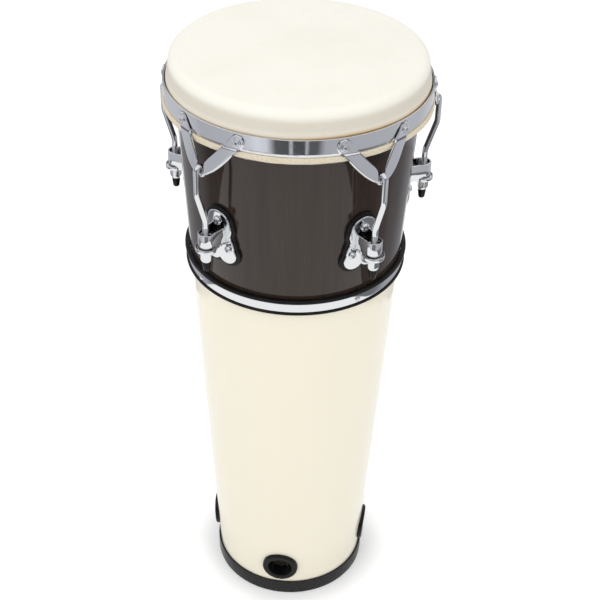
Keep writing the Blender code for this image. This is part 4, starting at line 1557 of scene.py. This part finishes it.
@dataclass
class Nuts:
    """Tuning nuts and the rubber caps under them."""

    places: DrumPlaces
    rods: Rods
    across_flats: float = 12.6 * MM
    hex_height: float = 10.0 * MM
    end_radius: float = 5.2 * MM
    bore: float = 3.75 * MM
    cap_radius: float = 5.0 * MM
    cap_length: float = 12.5 * MM
    cap_tip: float = 3.6 * MM
    steps: int = 144

    def length(self) -> float:
        """Length of a nut."""
        return self.places.nut_top_z - self.places.nut_bottom_z

    def place(self, index: int) -> Matrix:
        """Matrix of a nut's upper face."""
        return self.places.station(index) @ Matrix.Translation(
            (0.0, self.rods.lower_axis, self.places.nut_top_z))

    def nut(self, index: int) -> bpy.types.Mesh:
        """Hexagon whose radius at angle a is the flat's distance over the cosine of a from
        the flat's middle, held inside a turned profile that rounds both ends.

        Args:
            index: number of the station.

        Returns:
            The mesh in its place.
        """
        height = self.length()
        flat = self.across_flats / 2
        corner = flat / math.cos(math.radians(30.0))
        limit = fillet([
            (self.bore, 0.0, 0.4 * MM), (corner - 1.0 * MM, 0.0, 0.4 * MM),
            (corner + 0.2 * MM, -0.8 * MM, 0.3 * MM), (corner + 0.2 * MM, -self.hex_height, 2.0 * MM),
            (self.end_radius, -height, 0.8 * MM), (self.bore, -height, 0.4 * MM),
        ], 6)
        angle = full_turn(self.steps)
        turn = np.mod(angle, np.pi / 3) - np.pi / 6
        hexagon = np.minimum(flat / np.cos(turn), corner - 0.25 * MM)
        radius = np.minimum(limit[None, :, 0], hexagon)
        points = spun(angle, radius, limit[None, :, 1])
        mesh = grid_mesh(f"hex_nut_{index}", points, wrap_rows=True, sharp=32.0)
        mesh.transform(self.place(index))
        return mesh

    def cap(self, index: int) -> bpy.types.Mesh:
        """Turned sleeve with a bore above and a round tip below.

        Args:
            index: number of the station.

        Returns:
            The mesh in its place.
        """
        profile = fillet([
            (0.0, -8.0 * MM, 0.0), (4.0 * MM, -8.0 * MM, 0.5 * MM), (4.0 * MM, 0.0, 0.2 * MM),
            (self.cap_radius, 0.0, 0.4 * MM), (self.cap_radius - 0.5 * MM, -6.0 * MM, 4.0 * MM),
            (self.cap_tip, -self.cap_length, self.cap_tip * 0.95), (0.0, -self.cap_length, 0.0),
        ], 8, closed=False)
        place = self.place(index) @ Matrix.Translation((0.0, 0.0, -self.length() - GAP))
        return turned(f"tip_cap_{index}", profile, place, 40, closed=False)

    def build(self, dresser: Dresser) -> None:
        """Add a nut and a cap at each station.

        Args:
            dresser: takes the finished pieces.
        """
        for index in range(self.places.station_count):
            body = f"tuner_{index}"
            dresser.add(f"hex_nut_{index}", self.nut(index), Slot.CHROME, body,
                        [f"tuning_nut_{index}"])
            dresser.add(f"tip_cap_{index}", self.cap(index), Slot.RUBBER, body,
                        [f"rod_cap_{index}"])


@dataclass
class Lugs:
    """Stamped lugs on rubber gaskets: a curved plate with a window, a loop round the rod and
    a rimmed shelf for the nut."""

    places: DrumPlaces
    rods: Rods
    wall: float = 2.0 * MM
    gasket_wall: float = 3.0 * MM
    gasket_margin: float = 4.0 * MM
    half_width: float = 15.8 * MM
    arch_z: float = 606.0 * MM
    waist_z: float = 587.0 * MM
    lobe_radius: float = 12.2 * MM
    lobe_spread: float = 9.8 * MM
    lobe_z: float = 566.0 * MM
    loop_radius: float = 9.3 * MM
    loop_axis: float = 155.4 * MM
    loop_root: float = 10.4 * MM
    loop_height: float = 21.0 * MM
    shelf_z: float = 579.3 * MM
    shelf_radius: float = 12.5 * MM
    shelf_neck: float = 7.0 * MM
    shelf_lip: float = 3.0 * MM
    shelf_lip_wall: float = 1.4 * MM
    middle_z: float = 594.3 * MM     # where the plate's rays start
    rays: int = 180
    shelf_steps: int = 144

    def root(self) -> float:
        """Distance of the plate's back from the axis at the loop's top."""
        top = self.shelf_z + self.wall + self.loop_height
        return self.places.shell.radius(top) + self.gasket_wall + 2 * GAP

    def outline(self, margin: float) -> np.ndarray:
        """Outline of the plate laid flat: an arched top, a waist and two lobes below.

        Args:
            margin: how much wider than the plate.

        Returns:
            Points (across, height), shape (n, 2), turning anticlockwise from the cusp.
        """
        half, radius = self.half_width + margin, self.lobe_radius + margin
        cusp = math.acos(self.lobe_spread / radius) - math.pi
        angle = np.linspace(cusp, math.radians(35.0), 26)[:, None]
        lobe = np.hstack([self.lobe_spread + radius * np.cos(angle), self.lobe_z + radius * np.sin(angle)])
        arch = np.linspace(0.0, np.pi, 33)[:, None]
        top = np.hstack([half * np.cos(arch), self.arch_z + half * np.sin(arch)])
        waist = np.array([(half + 0.6 * MM, self.waist_z), (half, self.waist_z + 5 * MM)])
        side = np.concatenate([lobe, waist])
        return np.concatenate([side, top, side[::-1] * np.array([-1.0, 1.0])])

    def wrapped(self, flat: np.ndarray, offset: np.ndarray) -> np.ndarray:
        """Flat points put on the shell: at height z a point lies at the shell's radius plus
        its offset, and keeps its distance across.

        Args:
            flat: points (across, height), shape (..., 2).
            offset: distance outside the shell, shape (...).

        Returns:
            Points in the station's frame, shape (..., 3).
        """
        x, z = flat[..., 0], flat[..., 1]
        radius = self.places.shell.radius(z) + offset
        return np.stack([x, np.sqrt(radius**2 - x**2), z], axis=-1)

    @staticmethod
    def round_outline(flat: np.ndarray, centre: np.ndarray, count: int) -> np.ndarray:
        """Distance of an outline from a centre at even angles.

        Args:
            flat: outline points, shape (n, 2), seen once in every direction from the centre.
            centre: the centre, shape (2,).
            count: number of angles, from straight down and anticlockwise.

        Returns:
            The distances, shape (count,).
        """
        rays = flat - centre
        angle = np.mod(np.arctan2(rays[:, 0], -rays[:, 1]), 2 * np.pi)
        order = np.argsort(angle)
        even = full_turn(count)[:, 0]
        return np.interp(even, angle[order], np.linalg.norm(rays, axis=1)[order], period=2 * np.pi)

    def plate_section(self, wall: float, edge: float) -> tuple[np.ndarray, np.ndarray, np.ndarray]:
        """Section of a plate's rim as steps from the hole to the outer edge and back.

        Args:
            wall: thickness.
            edge: radius of the front edge.

        Returns:
            Share of the way across, distance in from the outer edge, and height, shape (n,).
        """
        share = np.linspace(0.0, 1.0, 12)
        bend = np.linspace(0.0, np.pi / 2, 7)[1:]
        level = np.zeros_like(share)
        return (np.concatenate([share, np.ones_like(bend), share[::-1]]),
                np.concatenate([level + edge, edge * (1 - np.sin(bend)), level]),
                np.concatenate([level + wall, wall - edge * (1 - np.cos(bend)), level]))

    def plate_mesh(self, name: str, margin: float, window: tuple[float, float] | None,
                   inside: float, wall: float, edge: float) -> bpy.types.Mesh:
        """Plate between a window and an outline: a point at a share of the way lies on the
        ray from the window's middle, between the window's edge and the outline.

        Args:
            name: name of the mesh.
            margin: how much wider than the lug's plate.
            window: low and high ends of the window, or None for a plate without one.
            inside: distance of its back from the shell.
            wall: thickness.
            edge: radius of the front edge.

        Returns:
            The mesh in the station's frame.
        """
        centre = np.array([0.0, self.middle_z])
        outer = self.round_outline(self.outline(margin), centre, self.rays)
        if window is None:
            inner = np.full(self.rays, 0.01 * MM)
        else:
            half = self.loop_root - self.wall / 2
            corners = [(-half, window[0], 1.2 * MM), (half, window[0], 1.2 * MM),
                       (half, window[1], 2.5 * MM), (-half, window[1], 2.5 * MM)]
            steps = fillet(corners, 6)
            fine = np.linspace(0.0, 1.0, 12, endpoint=False)[None, :, None]
            dense = (steps[:, None] * (1 - fine) + np.roll(steps, -1, axis=0)[:, None] * fine)
            inner = self.round_outline(dense.reshape(-1, 2), centre, self.rays)
        share, back, high = self.plate_section(wall, edge)
        reach = inner[:, None] + (outer[:, None] - back - inner[:, None]) * share
        even = full_turn(self.rays)
        flat = np.stack([centre[0] + reach * np.sin(even), centre[1] - reach * np.cos(even)], axis=-1)
        points = self.wrapped(flat, inside + high[None] + np.zeros_like(reach))
        return grid_mesh(name, points, wrap_rows=True)

    def loop_mesh(self) -> bpy.types.Mesh:
        """Upright bar carried round the rod: straight sides flaring to the plate and a half
        round front.

        Returns:
            The mesh in the station's frame.
        """
        root = self.root() + 0.8 * MM
        radius = self.loop_radius - self.wall / 2
        flare = self.loop_root - self.wall / 2
        angle = np.linspace(0.0, np.pi, 40)[:, None]
        front = np.hstack([radius * np.cos(angle), self.loop_axis + radius * np.sin(angle)])
        side = np.linspace(0.0, 1.0, 8)[:-1, None]
        lead = np.array([(flare, root)]) * (1 - side) + front[:1] * side
        tail = lead[::-1] * np.array([-1.0, 1.0])
        plan = np.concatenate([lead, front, tail])
        low, high = self.shelf_z + self.wall - GAP, self.shelf_z + self.wall + self.loop_height
        path = np.stack([plan[:, 0], plan[:, 1], np.full(len(plan), (low + high) / 2)], axis=1)
        half = self.wall / 2
        tall = (high - low) / 2
        section = fillet([(-tall, -half, 0.6 * MM), (tall, -half, 0.6 * MM), (tall, half, 0.6 * MM),
                          (-tall, half, 0.6 * MM)], 4)
        sections = np.repeat(section[None], len(plan), axis=0)
        return carried("loop", path, np.array([0.0, 0.0, 1.0]), sections)

    def shelf_mesh(self) -> bpy.types.Mesh:
        """Shelf round the rod: in each direction its edge is a circle, the neck's side or the
        plate, and its rim is a section that follows the edge.

        Returns:
            The mesh in the station's frame.
        """
        centre_y = self.loop_axis
        angle = full_turn(self.shelf_steps)[:, 0]
        from_plate = np.abs(np.mod(angle + np.pi, 2 * np.pi) - np.pi)
        depth = centre_y - self.root()
        toward = np.clip(np.cos(from_plate), 1e-3, None)
        aside = np.clip(np.sin(from_plate), 1e-3, None)
        corner = math.atan2(self.shelf_neck, depth)
        circle_from = math.asin(self.shelf_neck / self.shelf_radius)
        outer = np.where(from_plate < corner, depth / toward,
                         np.where(from_plate < circle_from, self.shelf_neck / aside, self.shelf_radius))
        hole = self.rods.radius + 0.8 * MM
        lip, rim = self.shelf_lip_wall, self.wall + self.shelf_lip
        edge = fillet([(-6 * MM, 0.0, 0.0), (0.0, 0.0, 1.6 * MM), (0.0, rim, 0.5 * MM),
                       (-lip, rim, 0.5 * MM), (-lip, self.wall, 0.8 * MM), (-6 * MM, self.wall, 0.0)],
                      5, closed=False)
        inner = np.array([(0.0, self.wall), (0.0, 0.0)])
        bore = np.full((self.shelf_steps, 2), hole)
        reach = np.concatenate([outer[:, None] + edge[None, :, 0], bore], axis=1)
        high = np.concatenate([edge[:, 1], inner[:, 1]])[None] + np.zeros_like(reach)
        x = reach * np.sin(angle)[:, None]
        y = centre_y - reach * np.cos(angle)[:, None]
        return grid_mesh("shelf", np.stack([x, y, self.shelf_z + high], axis=-1), wrap_rows=True)

    def bracket(self, index: int) -> bpy.types.Mesh:
        """Plate, loop and shelf of one lug.

        Args:
            index: number of the station.

        Returns:
            The mesh in its place.
        """
        inside = self.gasket_wall + 2 * GAP
        low = self.shelf_z + self.wall + self.shelf_lip + 1.0 * MM
        high = self.shelf_z + self.wall + self.loop_height + 1.0 * MM
        plate = self.plate_mesh("plate", 0.0, (low, high), inside, self.wall, 1.2 * MM)
        mesh = joined(f"lug_{index}", [plate, self.loop_mesh(), self.shelf_mesh()])
        mesh.transform(self.places.station(index))
        return mesh

    def gasket(self, index: int) -> bpy.types.Mesh:
        """Rubber sheet behind the plate.

        Args:
            index: number of the station.

        Returns:
            The mesh in its place.
        """
        mesh = self.plate_mesh(f"lug_pad_{index}", self.gasket_margin, None, GAP,
                               self.gasket_wall, 1.0 * MM)
        mesh.transform(self.places.station(index))
        return mesh

    def build(self, dresser: Dresser) -> None:
        """Add a lug and its gasket at each station.

        Args:
            dresser: takes the finished pieces.
        """
        for index in range(self.places.station_count):
            dresser.add(f"lug_{index}", self.bracket(index), Slot.CHROME, Body.DRUM.value,
                        [f"lug_bracket_{index}"])
            dresser.add(f"lug_pad_{index}", self.gasket(index), Slot.RUBBER, Body.DRUM.value,
                        [f"lug_gasket_{index}"])


@dataclass
class Bolts:
    """Bolts that hold the lugs: a domed head with a socket outside, washer and nut inside."""

    places: DrumPlaces
    top_z: float = 609.0 * MM
    ear_spread: float = 12.5 * MM
    ear_z: float = 575.0 * MM
    shank: float = 3.0 * MM
    seat: float = 5.9 * MM
    head_height: float = 3.2 * MM
    top_head: float = 5.3 * MM
    ear_head: float = 4.4 * MM
    nut_radius: float = 5.5 * MM
    nut_height: float = 5.0 * MM
    steps: int = 48

    def bolt_places(self, index: int) -> list[tuple[str, Matrix, float]]:
        """Name, matrix and head radius of each bolt of one lug.

        Args:
            index: number of the station.

        Returns:
            One entry for each bolt.
        """
        places = self.places
        ear = self.ear_z
        return [
            ("top", places.on_shell(places.spread_azimuth(index, 0.0, self.top_z), self.top_z),
             self.top_head),
            ("left", places.on_shell(places.spread_azimuth(index, -self.ear_spread, ear), ear),
             self.ear_head),
            ("right", places.on_shell(places.spread_azimuth(index, self.ear_spread, ear), ear),
             self.ear_head),
        ]

    def mesh(self, name: str, place: Matrix, head: float) -> bpy.types.Mesh:
        """Turned profile whose socket and inner nut are hexagons: their radius is held to
        the flat's distance over the cosine of the angle from the flat's middle.

        Args:
            name: name of the mesh.
            place: matrix of its place on the shell.
            head: radius of its head.

        Returns:
            The mesh in its place.
        """
        seat, top = self.seat, self.seat + self.head_height
        inner = -self.places.shell.wall - 2 * GAP
        washer = self.nut_radius * 1.16
        profile = fillet([
            (0.0, top - 1.8 * MM, 0.0), (0.42 * head, top - 1.8 * MM, 0.2 * MM),
            (0.46 * head, top, 0.3 * MM), (0.72 * head, top - 0.2 * MM, 1.2 * MM),
            (head, seat + 0.4 * self.head_height, 0.9 * MM), (head, seat, 0.2 * MM),
            (self.shank, seat, 0.0), (self.shank, inner, 0.0),
            (washer, inner, 0.3 * MM), (washer, inner - 1 * MM, 0.3 * MM),
            (self.nut_radius, inner - 1 * MM, 0.0),
            (self.nut_radius, inner - self.nut_height, 0.4 * MM),
            (0.0, inner - self.nut_height, 0.0),
        ], 5, closed=False)
        angle = full_turn(self.steps)
        turn = np.mod(angle, np.pi / 3) - np.pi / 6
        hexagon = math.cos(math.pi / 6) / np.cos(turn)
        radius, height = profile[None, :, 0], profile[None, :, 1]
        is_socket = (radius < 0.47 * head) & (height > seat)
        is_nut = height < inner - 1.05 * MM
        radius = np.where(is_socket | is_nut, radius * hexagon, radius)
        mesh = grid_mesh(name, spun(angle, radius, height), wrap_rows=True, wrap_columns=False,
                         sharp=40.0)
        mesh.transform(place)
        return mesh

    def build(self, dresser: Dresser) -> None:
        """Add the bolts of every lug.

        Args:
            dresser: takes the finished pieces.
        """
        for index in range(self.places.station_count):
            for side, place, head in self.bolt_places(index):
                name = f"bolt_{side}_{index}"
                dresser.add(name, self.mesh(name, place, head), Slot.CHROME, Body.DRUM.value,
                            [f"lug_bolt_{side}_{index}"])


# Studio


@dataclass(frozen=True)
class AreaLamp:
    """One soft box."""

    name: str
    place: tuple[float, float, float]
    aim: tuple[float, float, float]
    size: tuple[float, float]
    power: float

    def build(self) -> None:
        """Add the lamp."""
        lamp = bpy.data.lights.new(self.name, "AREA")
        lamp.shape = "RECTANGLE"
        lamp.size, lamp.size_y = self.size
        lamp.energy = self.power
        obj = bpy.data.objects.new(self.name, lamp)
        bpy.context.scene.collection.objects.link(obj)
        obj.location = self.place
        direction = Vector(self.aim) - Vector(self.place)
        obj.rotation_euler = direction.to_track_quat("-Z", "Y").to_euler()
        obj.visible_glossy = False


@dataclass
class Studio:
    """Camera, lamps, world and floor."""

    places: DrumPlaces
    eye: tuple[float, float, float] = (0.0, -1.3350, 1.4088)
    forward: tuple[float, float, float] = (0.0042, 0.8047, -0.5937)
    right: tuple[float, float, float] = (0.9998, 0.0084, 0.0184)
    turn: float = 2.8                # degrees from the photograph's drum to the frame's
    lens: float = 80.375
    floor_size: float = 14.0
    sweep_front: float = 1.115       # reach of the floor's white part in front, as metal shows it
    sweep_side: float = 0.64         # its reach to the sides
    sweep_back: float = 1.40         # its reach behind
    front_turn: float = 12.0         # degrees by which its front is turned aside
    ragged: float = 0.07             # how far its edge goes in and out
    sweep_level: float = 1.05
    sky_level: float = 0.93
    floor_lift: float = 0.33

    def camera(self) -> None:
        """Put the camera where the photograph was taken from."""
        forward, right = Vector(self.forward).normalized(), Vector(self.right).normalized()
        up = right.cross(forward).normalized()
        view = Matrix((forward.cross(up), up, -forward)).transposed().to_4x4()
        view.translation = Vector(self.eye)
        place = self.places.centre() @ Matrix.Rotation(math.radians(self.turn), 4, "Z") @ view
        camera = bpy.data.cameras.new("camera")
        camera.lens = self.lens
        camera.sensor_width = 36.0
        camera.clip_end = 50.0
        obj = bpy.data.objects.new("camera", camera)
        bpy.context.scene.collection.objects.link(obj)
        obj.matrix_world = place
        bpy.context.scene.camera = obj

    def bearing(self, bench: NodeBench, split: bpy.types.Node) -> bpy.types.NodeSocket:
        """Azimuth in radians of a direction from the drum, from the camera's side.

        Args:
            bench: the tree to build in.
            split: node that gives the X and Y.

        Returns:
            The azimuth's socket.
        """
        back = bench.math("MULTIPLY", split.outputs["Y"], -1.0)
        angle = bench.math("ARCTAN2", split.outputs["X"], back)
        return bench.math("SUBTRACT", angle, math.radians(self.turn))

    def surroundings(self, bench: NodeBench, bearing: bpy.types.NodeSocket
                     ) -> bpy.types.NodeSocket:
        """Colour of the room all round the drum, as polished metal shows it: dim towards the
        camera with two lit slits, grey at both sides, bright behind.

        Args:
            bench: the tree to build in.
            bearing: azimuth of the direction in radians.

        Returns:
            The colour's socket.
        """
        share = bench.math("MULTIPLY_ADD", bearing, 1 / (2 * math.pi))
        share.node.inputs[2].default_value = 0.5
        ramp = bench.add("ValToRGB")
        stops = ramp.color_ramp.elements
        levels = (
            (-179.0, 0.72), (-150.0, 0.60), (-120.0, 0.64), (-92.0, 0.58), (-84.0, 0.51),
            (-56.0, 0.54), (-40.0, 0.70), (-32.0, 0.84), (-24.0, 0.76), (-20.0, 0.38),
            (-17.0, 0.12), (-6.4, 0.10), (-5.4, 0.62), (-4.4, 0.62), (-3.4, 0.09), (6.2, 0.09),
            (7.0, 0.55), (8.0, 0.55), (8.8, 0.12), (16.0, 0.12), (19.0, 0.32), (22.0, 0.48),
            (36.0, 0.50), (80.0, 0.52), (92.0, 0.58), (116.0, 0.56), (132.0, 0.62),
            (150.0, 0.66), (165.0, 0.84), (179.0, 0.80),
        )
        stops[0].position = levels[0][0] / 360 + 0.5
        stops[1].position = levels[-1][0] / 360 + 0.5
        for index, (degrees, level) in enumerate(levels):
            if index in (0, len(levels) - 1):
                stop = stops[0] if index == 0 else stops[len(stops) - 1]
            else:
                stop = stops.new(degrees / 360 + 0.5)
            stop.color = shade_of(level * 0.97, level * 0.98, level * 1.06)
        bench.feed(ramp.inputs[0], share)
        return ramp.outputs["Color"]

    def world(self) -> None:
        """Light the scene evenly: white to the camera, one plain level for matte surfaces,
        and a room with a bright ceiling for polished ones."""
        world = bpy.data.worlds.new("studio")
        bpy.context.scene.world = world
        world.use_nodes = True
        world.node_tree.nodes.clear()
        bench = NodeBench(world.node_tree)
        split = bench.split(bench.add("TexCoord").outputs["Generated"])
        room = self.surroundings(bench, self.bearing(bench, split))
        gap = bench.fade(split.outputs["Z"], 0.16, 0.26)
        ceiling = bench.fade(split.outputs["Z"], 0.42, 0.52)
        room = bench.mix(gap, room, shade_of(0.16, 0.16, 0.18))
        room = bench.mix(ceiling, room, shade_of(0.95, 0.95, 0.97))
        path = bench.add("LightPath")
        shiny = bench.add("Background", Strength=1.0)
        bench.feed(shiny.inputs["Color"], room)
        plain = bench.add("Background", Color=shade_of(1.0, 1.0, 1.0), Strength=self.sky_level)
        white = bench.add("Background", Color=shade_of(1.0, 1.0, 1.0), Strength=1.0)
        unseen = bench.blend(path.outputs["Is Glossy Ray"], plain, shiny)
        choice = bench.blend(path.outputs["Is Camera Ray"], unseen, white)
        out = bench.add("OutputWorld")
        bench.feed(out.inputs["Surface"], choice.outputs[0])

    def floor_material(self) -> bpy.types.Material:
        """White floor. The camera sees it lifted to white round the drum, and polished surfaces see a
        white sweep with an uneven edge inside the room. Close to the drum both are dimmed as a painted
        contact shadow, and under the drum polished surfaces see a painted dark brown shade.

        Returns:
            The material.
        """
        material = bpy.data.materials.new("floor")
        material.use_nodes = True
        material.cycles.emission_sampling = "NONE"
        bench = NodeBench(material.node_tree)
        shader = material.node_tree.nodes["Principled BSDF"]
        place = bench.add("TexCoord").outputs["Object"]
        split = bench.split(place)
        distance = bench.reach(split, self.places.axis.y)
        ragged = bench.math("MULTIPLY_ADD", bench.noise(place, 12.0, 5.0, 0.68), self.ragged)
        bench.feed(ragged.node.inputs[2], distance)
        bearing = self.bearing(bench, split)
        aside = bench.math("ABSOLUTE", bearing)
        askew = bench.math("ABSOLUTE", bench.math("ADD", bearing, math.radians(self.front_turn)))
        reach = bench.fade(askew, math.radians(45.0), math.radians(98.0), self.sweep_front,
                           self.sweep_side)
        behind = bench.fade(aside, math.radians(144.0), math.radians(156.0), 0.0,
                            self.sweep_back - self.sweep_side)
        past = bench.math("SUBTRACT", bench.math("SUBTRACT", ragged, self.ragged / 2),
                          bench.math("ADD", reach, behind))
        sweep = bench.fade(past, -0.004, 0.005, 1.0, 0.0)
        black = shade_of(0.0, 0.0, 0.0)
        ring = bench.fade(aside, math.radians(84.0), math.radians(108.0), 0.35, 0.72)
        away = bench.fade(distance, 1.08, 1.17)
        near_dim = bench.math("MAXIMUM", ring, away)
        room = bench.mix(near_dim, black, self.surroundings(bench, bearing))
        level = self.sweep_level
        room = bench.mix(sweep, room, shade_of(level, level, level))
        # painted shadow: polished surfaces see the floor dimmer within 0.17 m of the axis, down to 0.6 at
        # 0.10 m
        room = bench.mix(bench.fade(distance, 0.10, 0.17, 0.60, 1.0), black, room)
        path = bench.add("LightPath")
        outside = bench.fade(distance, 0.085, 0.099)
        seen = bench.math("MULTIPLY", path.outputs["Is Camera Ray"], outside)
        bench.feed(shader.inputs["Base Color"], shade_of(0.80, 0.80, 0.80))
        bench.feed(shader.inputs["Roughness"], 0.9)
        bench.feed(shader.inputs["Specular IOR Level"], 0.1)
        bench.feed(shader.inputs["Emission Color"], shade_of(1.0, 1.0, 1.0))
        # painted shadow: the camera's lift falls to 0.21 within 0.14 m of the axis, which deepens the
        # drum's contact shadow
        lift = bench.fade(distance, 0.105, 0.14, 0.21, self.floor_lift)
        bench.feed(shader.inputs["Emission Strength"], bench.math("MULTIPLY", seen, lift))
        shown = bench.add("Emission", Strength=1.0)
        # painted shade: under the drum polished surfaces see a dark brown floor instead of the room
        bench.feed(shown.inputs["Color"], bench.mix(outside, shade_of(0.02, 0.015, 0.01), room))
        choice = bench.blend(path.outputs["Is Glossy Ray"], shader, shown)
        out = material.node_tree.nodes["Material Output"]
        bench.feed(out.inputs["Surface"], choice.outputs[0])
        return material

    def floor(self) -> None:
        """Add the floor, which isn't part of the drum."""
        half = self.floor_size / 2
        steps = np.linspace(-half, half, 9)
        x, y = np.meshgrid(steps, steps, indexing="ij")
        points = np.stack([x, y, np.zeros_like(x)], axis=-1)
        mesh = grid_mesh("floor", points, wrap_columns=False)
        if mesh.polygons[0].normal.z < 0:
            mesh.flip_normals()
        mesh.materials.append(self.floor_material())
        obj = bpy.data.objects.new("floor", mesh)
        bpy.context.scene.collection.objects.link(obj)

    def build(self) -> None:
        """Set up everything that isn't part of the drum."""
        bpy.context.scene.view_settings.view_transform = "Standard"
        self.camera()
        self.world()
        self.floor()
        aim = (0.0, 0.0, 0.45)
        lamps = (
            AreaLamp("top", (-0.5, -0.4, 2.8), aim, (2.4, 2.4), 9.8),
            AreaLamp("key", (-1.5, -2.0, 1.5), aim, (1.6, 1.6), 7.6),
            AreaLamp("fill", (1.8, -1.5, 1.2), aim, (1.2, 1.6), 4.4),
        )
        for lamp in lamps:
            lamp.build()


def make_materials(places: DrumPlaces) -> dict[Slot, bpy.types.Material]:
    """Build the finish of every material slot.

    Args:
        places: where things are on the drum.

    Returns:
        The material of each slot.
    """
    groups = ShaderGroups()
    centre_y = places.axis.y
    brown = Lacquer("brown_gloss", shade_of(0.038, 0.025, 0.018), shade_of(0.021, 0.013, 0.009), 2.0,
                    0.012 * MM)
    ivory = Lacquer("ivory_gloss", shade_of(0.91, 0.86, 0.715), shade_of(0.89, 0.83, 0.68), 0.6,
                    0.012 * MM)
    return {
        Slot.BROWN: brown.material(groups, places.shell, centre_y),
        Slot.IVORY: ivory.material(groups, places.shell, centre_y),
        Slot.CHROME: Plating("chrome_plate", shade_of(0.76, 0.77, 0.78), 0.04, 0.10).material(groups),
        Slot.STEEL: Plating("zinc_plate", shade_of(0.56, 0.55, 0.53), 0.32, 0.45).material(groups),
        Slot.RUBBER: Rubber("black_moulding", shade_of(0.0055, 0.005, 0.005),
                            shade_of(0.032, 0.031, 0.030), 0.22).material(groups),
        Slot.SKIN: Rawhide("rawhide").material(groups, places.top_z, places.rim_z,
                                               places.hoop_bottom_z),
    }


def main() -> None:
    """Dress the drum and set up the studio."""
    logging.basicConfig(level=logging.INFO, format="%(name)s: %(message)s")
    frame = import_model()
    places = DrumPlaces.from_frame()
    dresser = Dresser(make_materials(places))
    bolts = Bolts(places)
    holes = [place for index in range(places.station_count)
             for _, place, _ in bolts.bolt_places(index)]
    shells = Shells(places)
    rods = Rods(places)
    shells.build(dresser, holes)
    for assembly in (Grommets(shells), JointBand(places), FootRing(places), Head(places),
                     Hoop(places), Straps(places), rods, Nuts(places, rods), Lugs(places, rods), bolts):
        assembly.build(dresser)
    dresser.dress_node(frame["nodes"]["flesh_hoop"], Slot.STEEL)
    Studio(places).build()
    LOG.info("%d pieces", dresser.count)


if __name__ == "__main__":
    main()
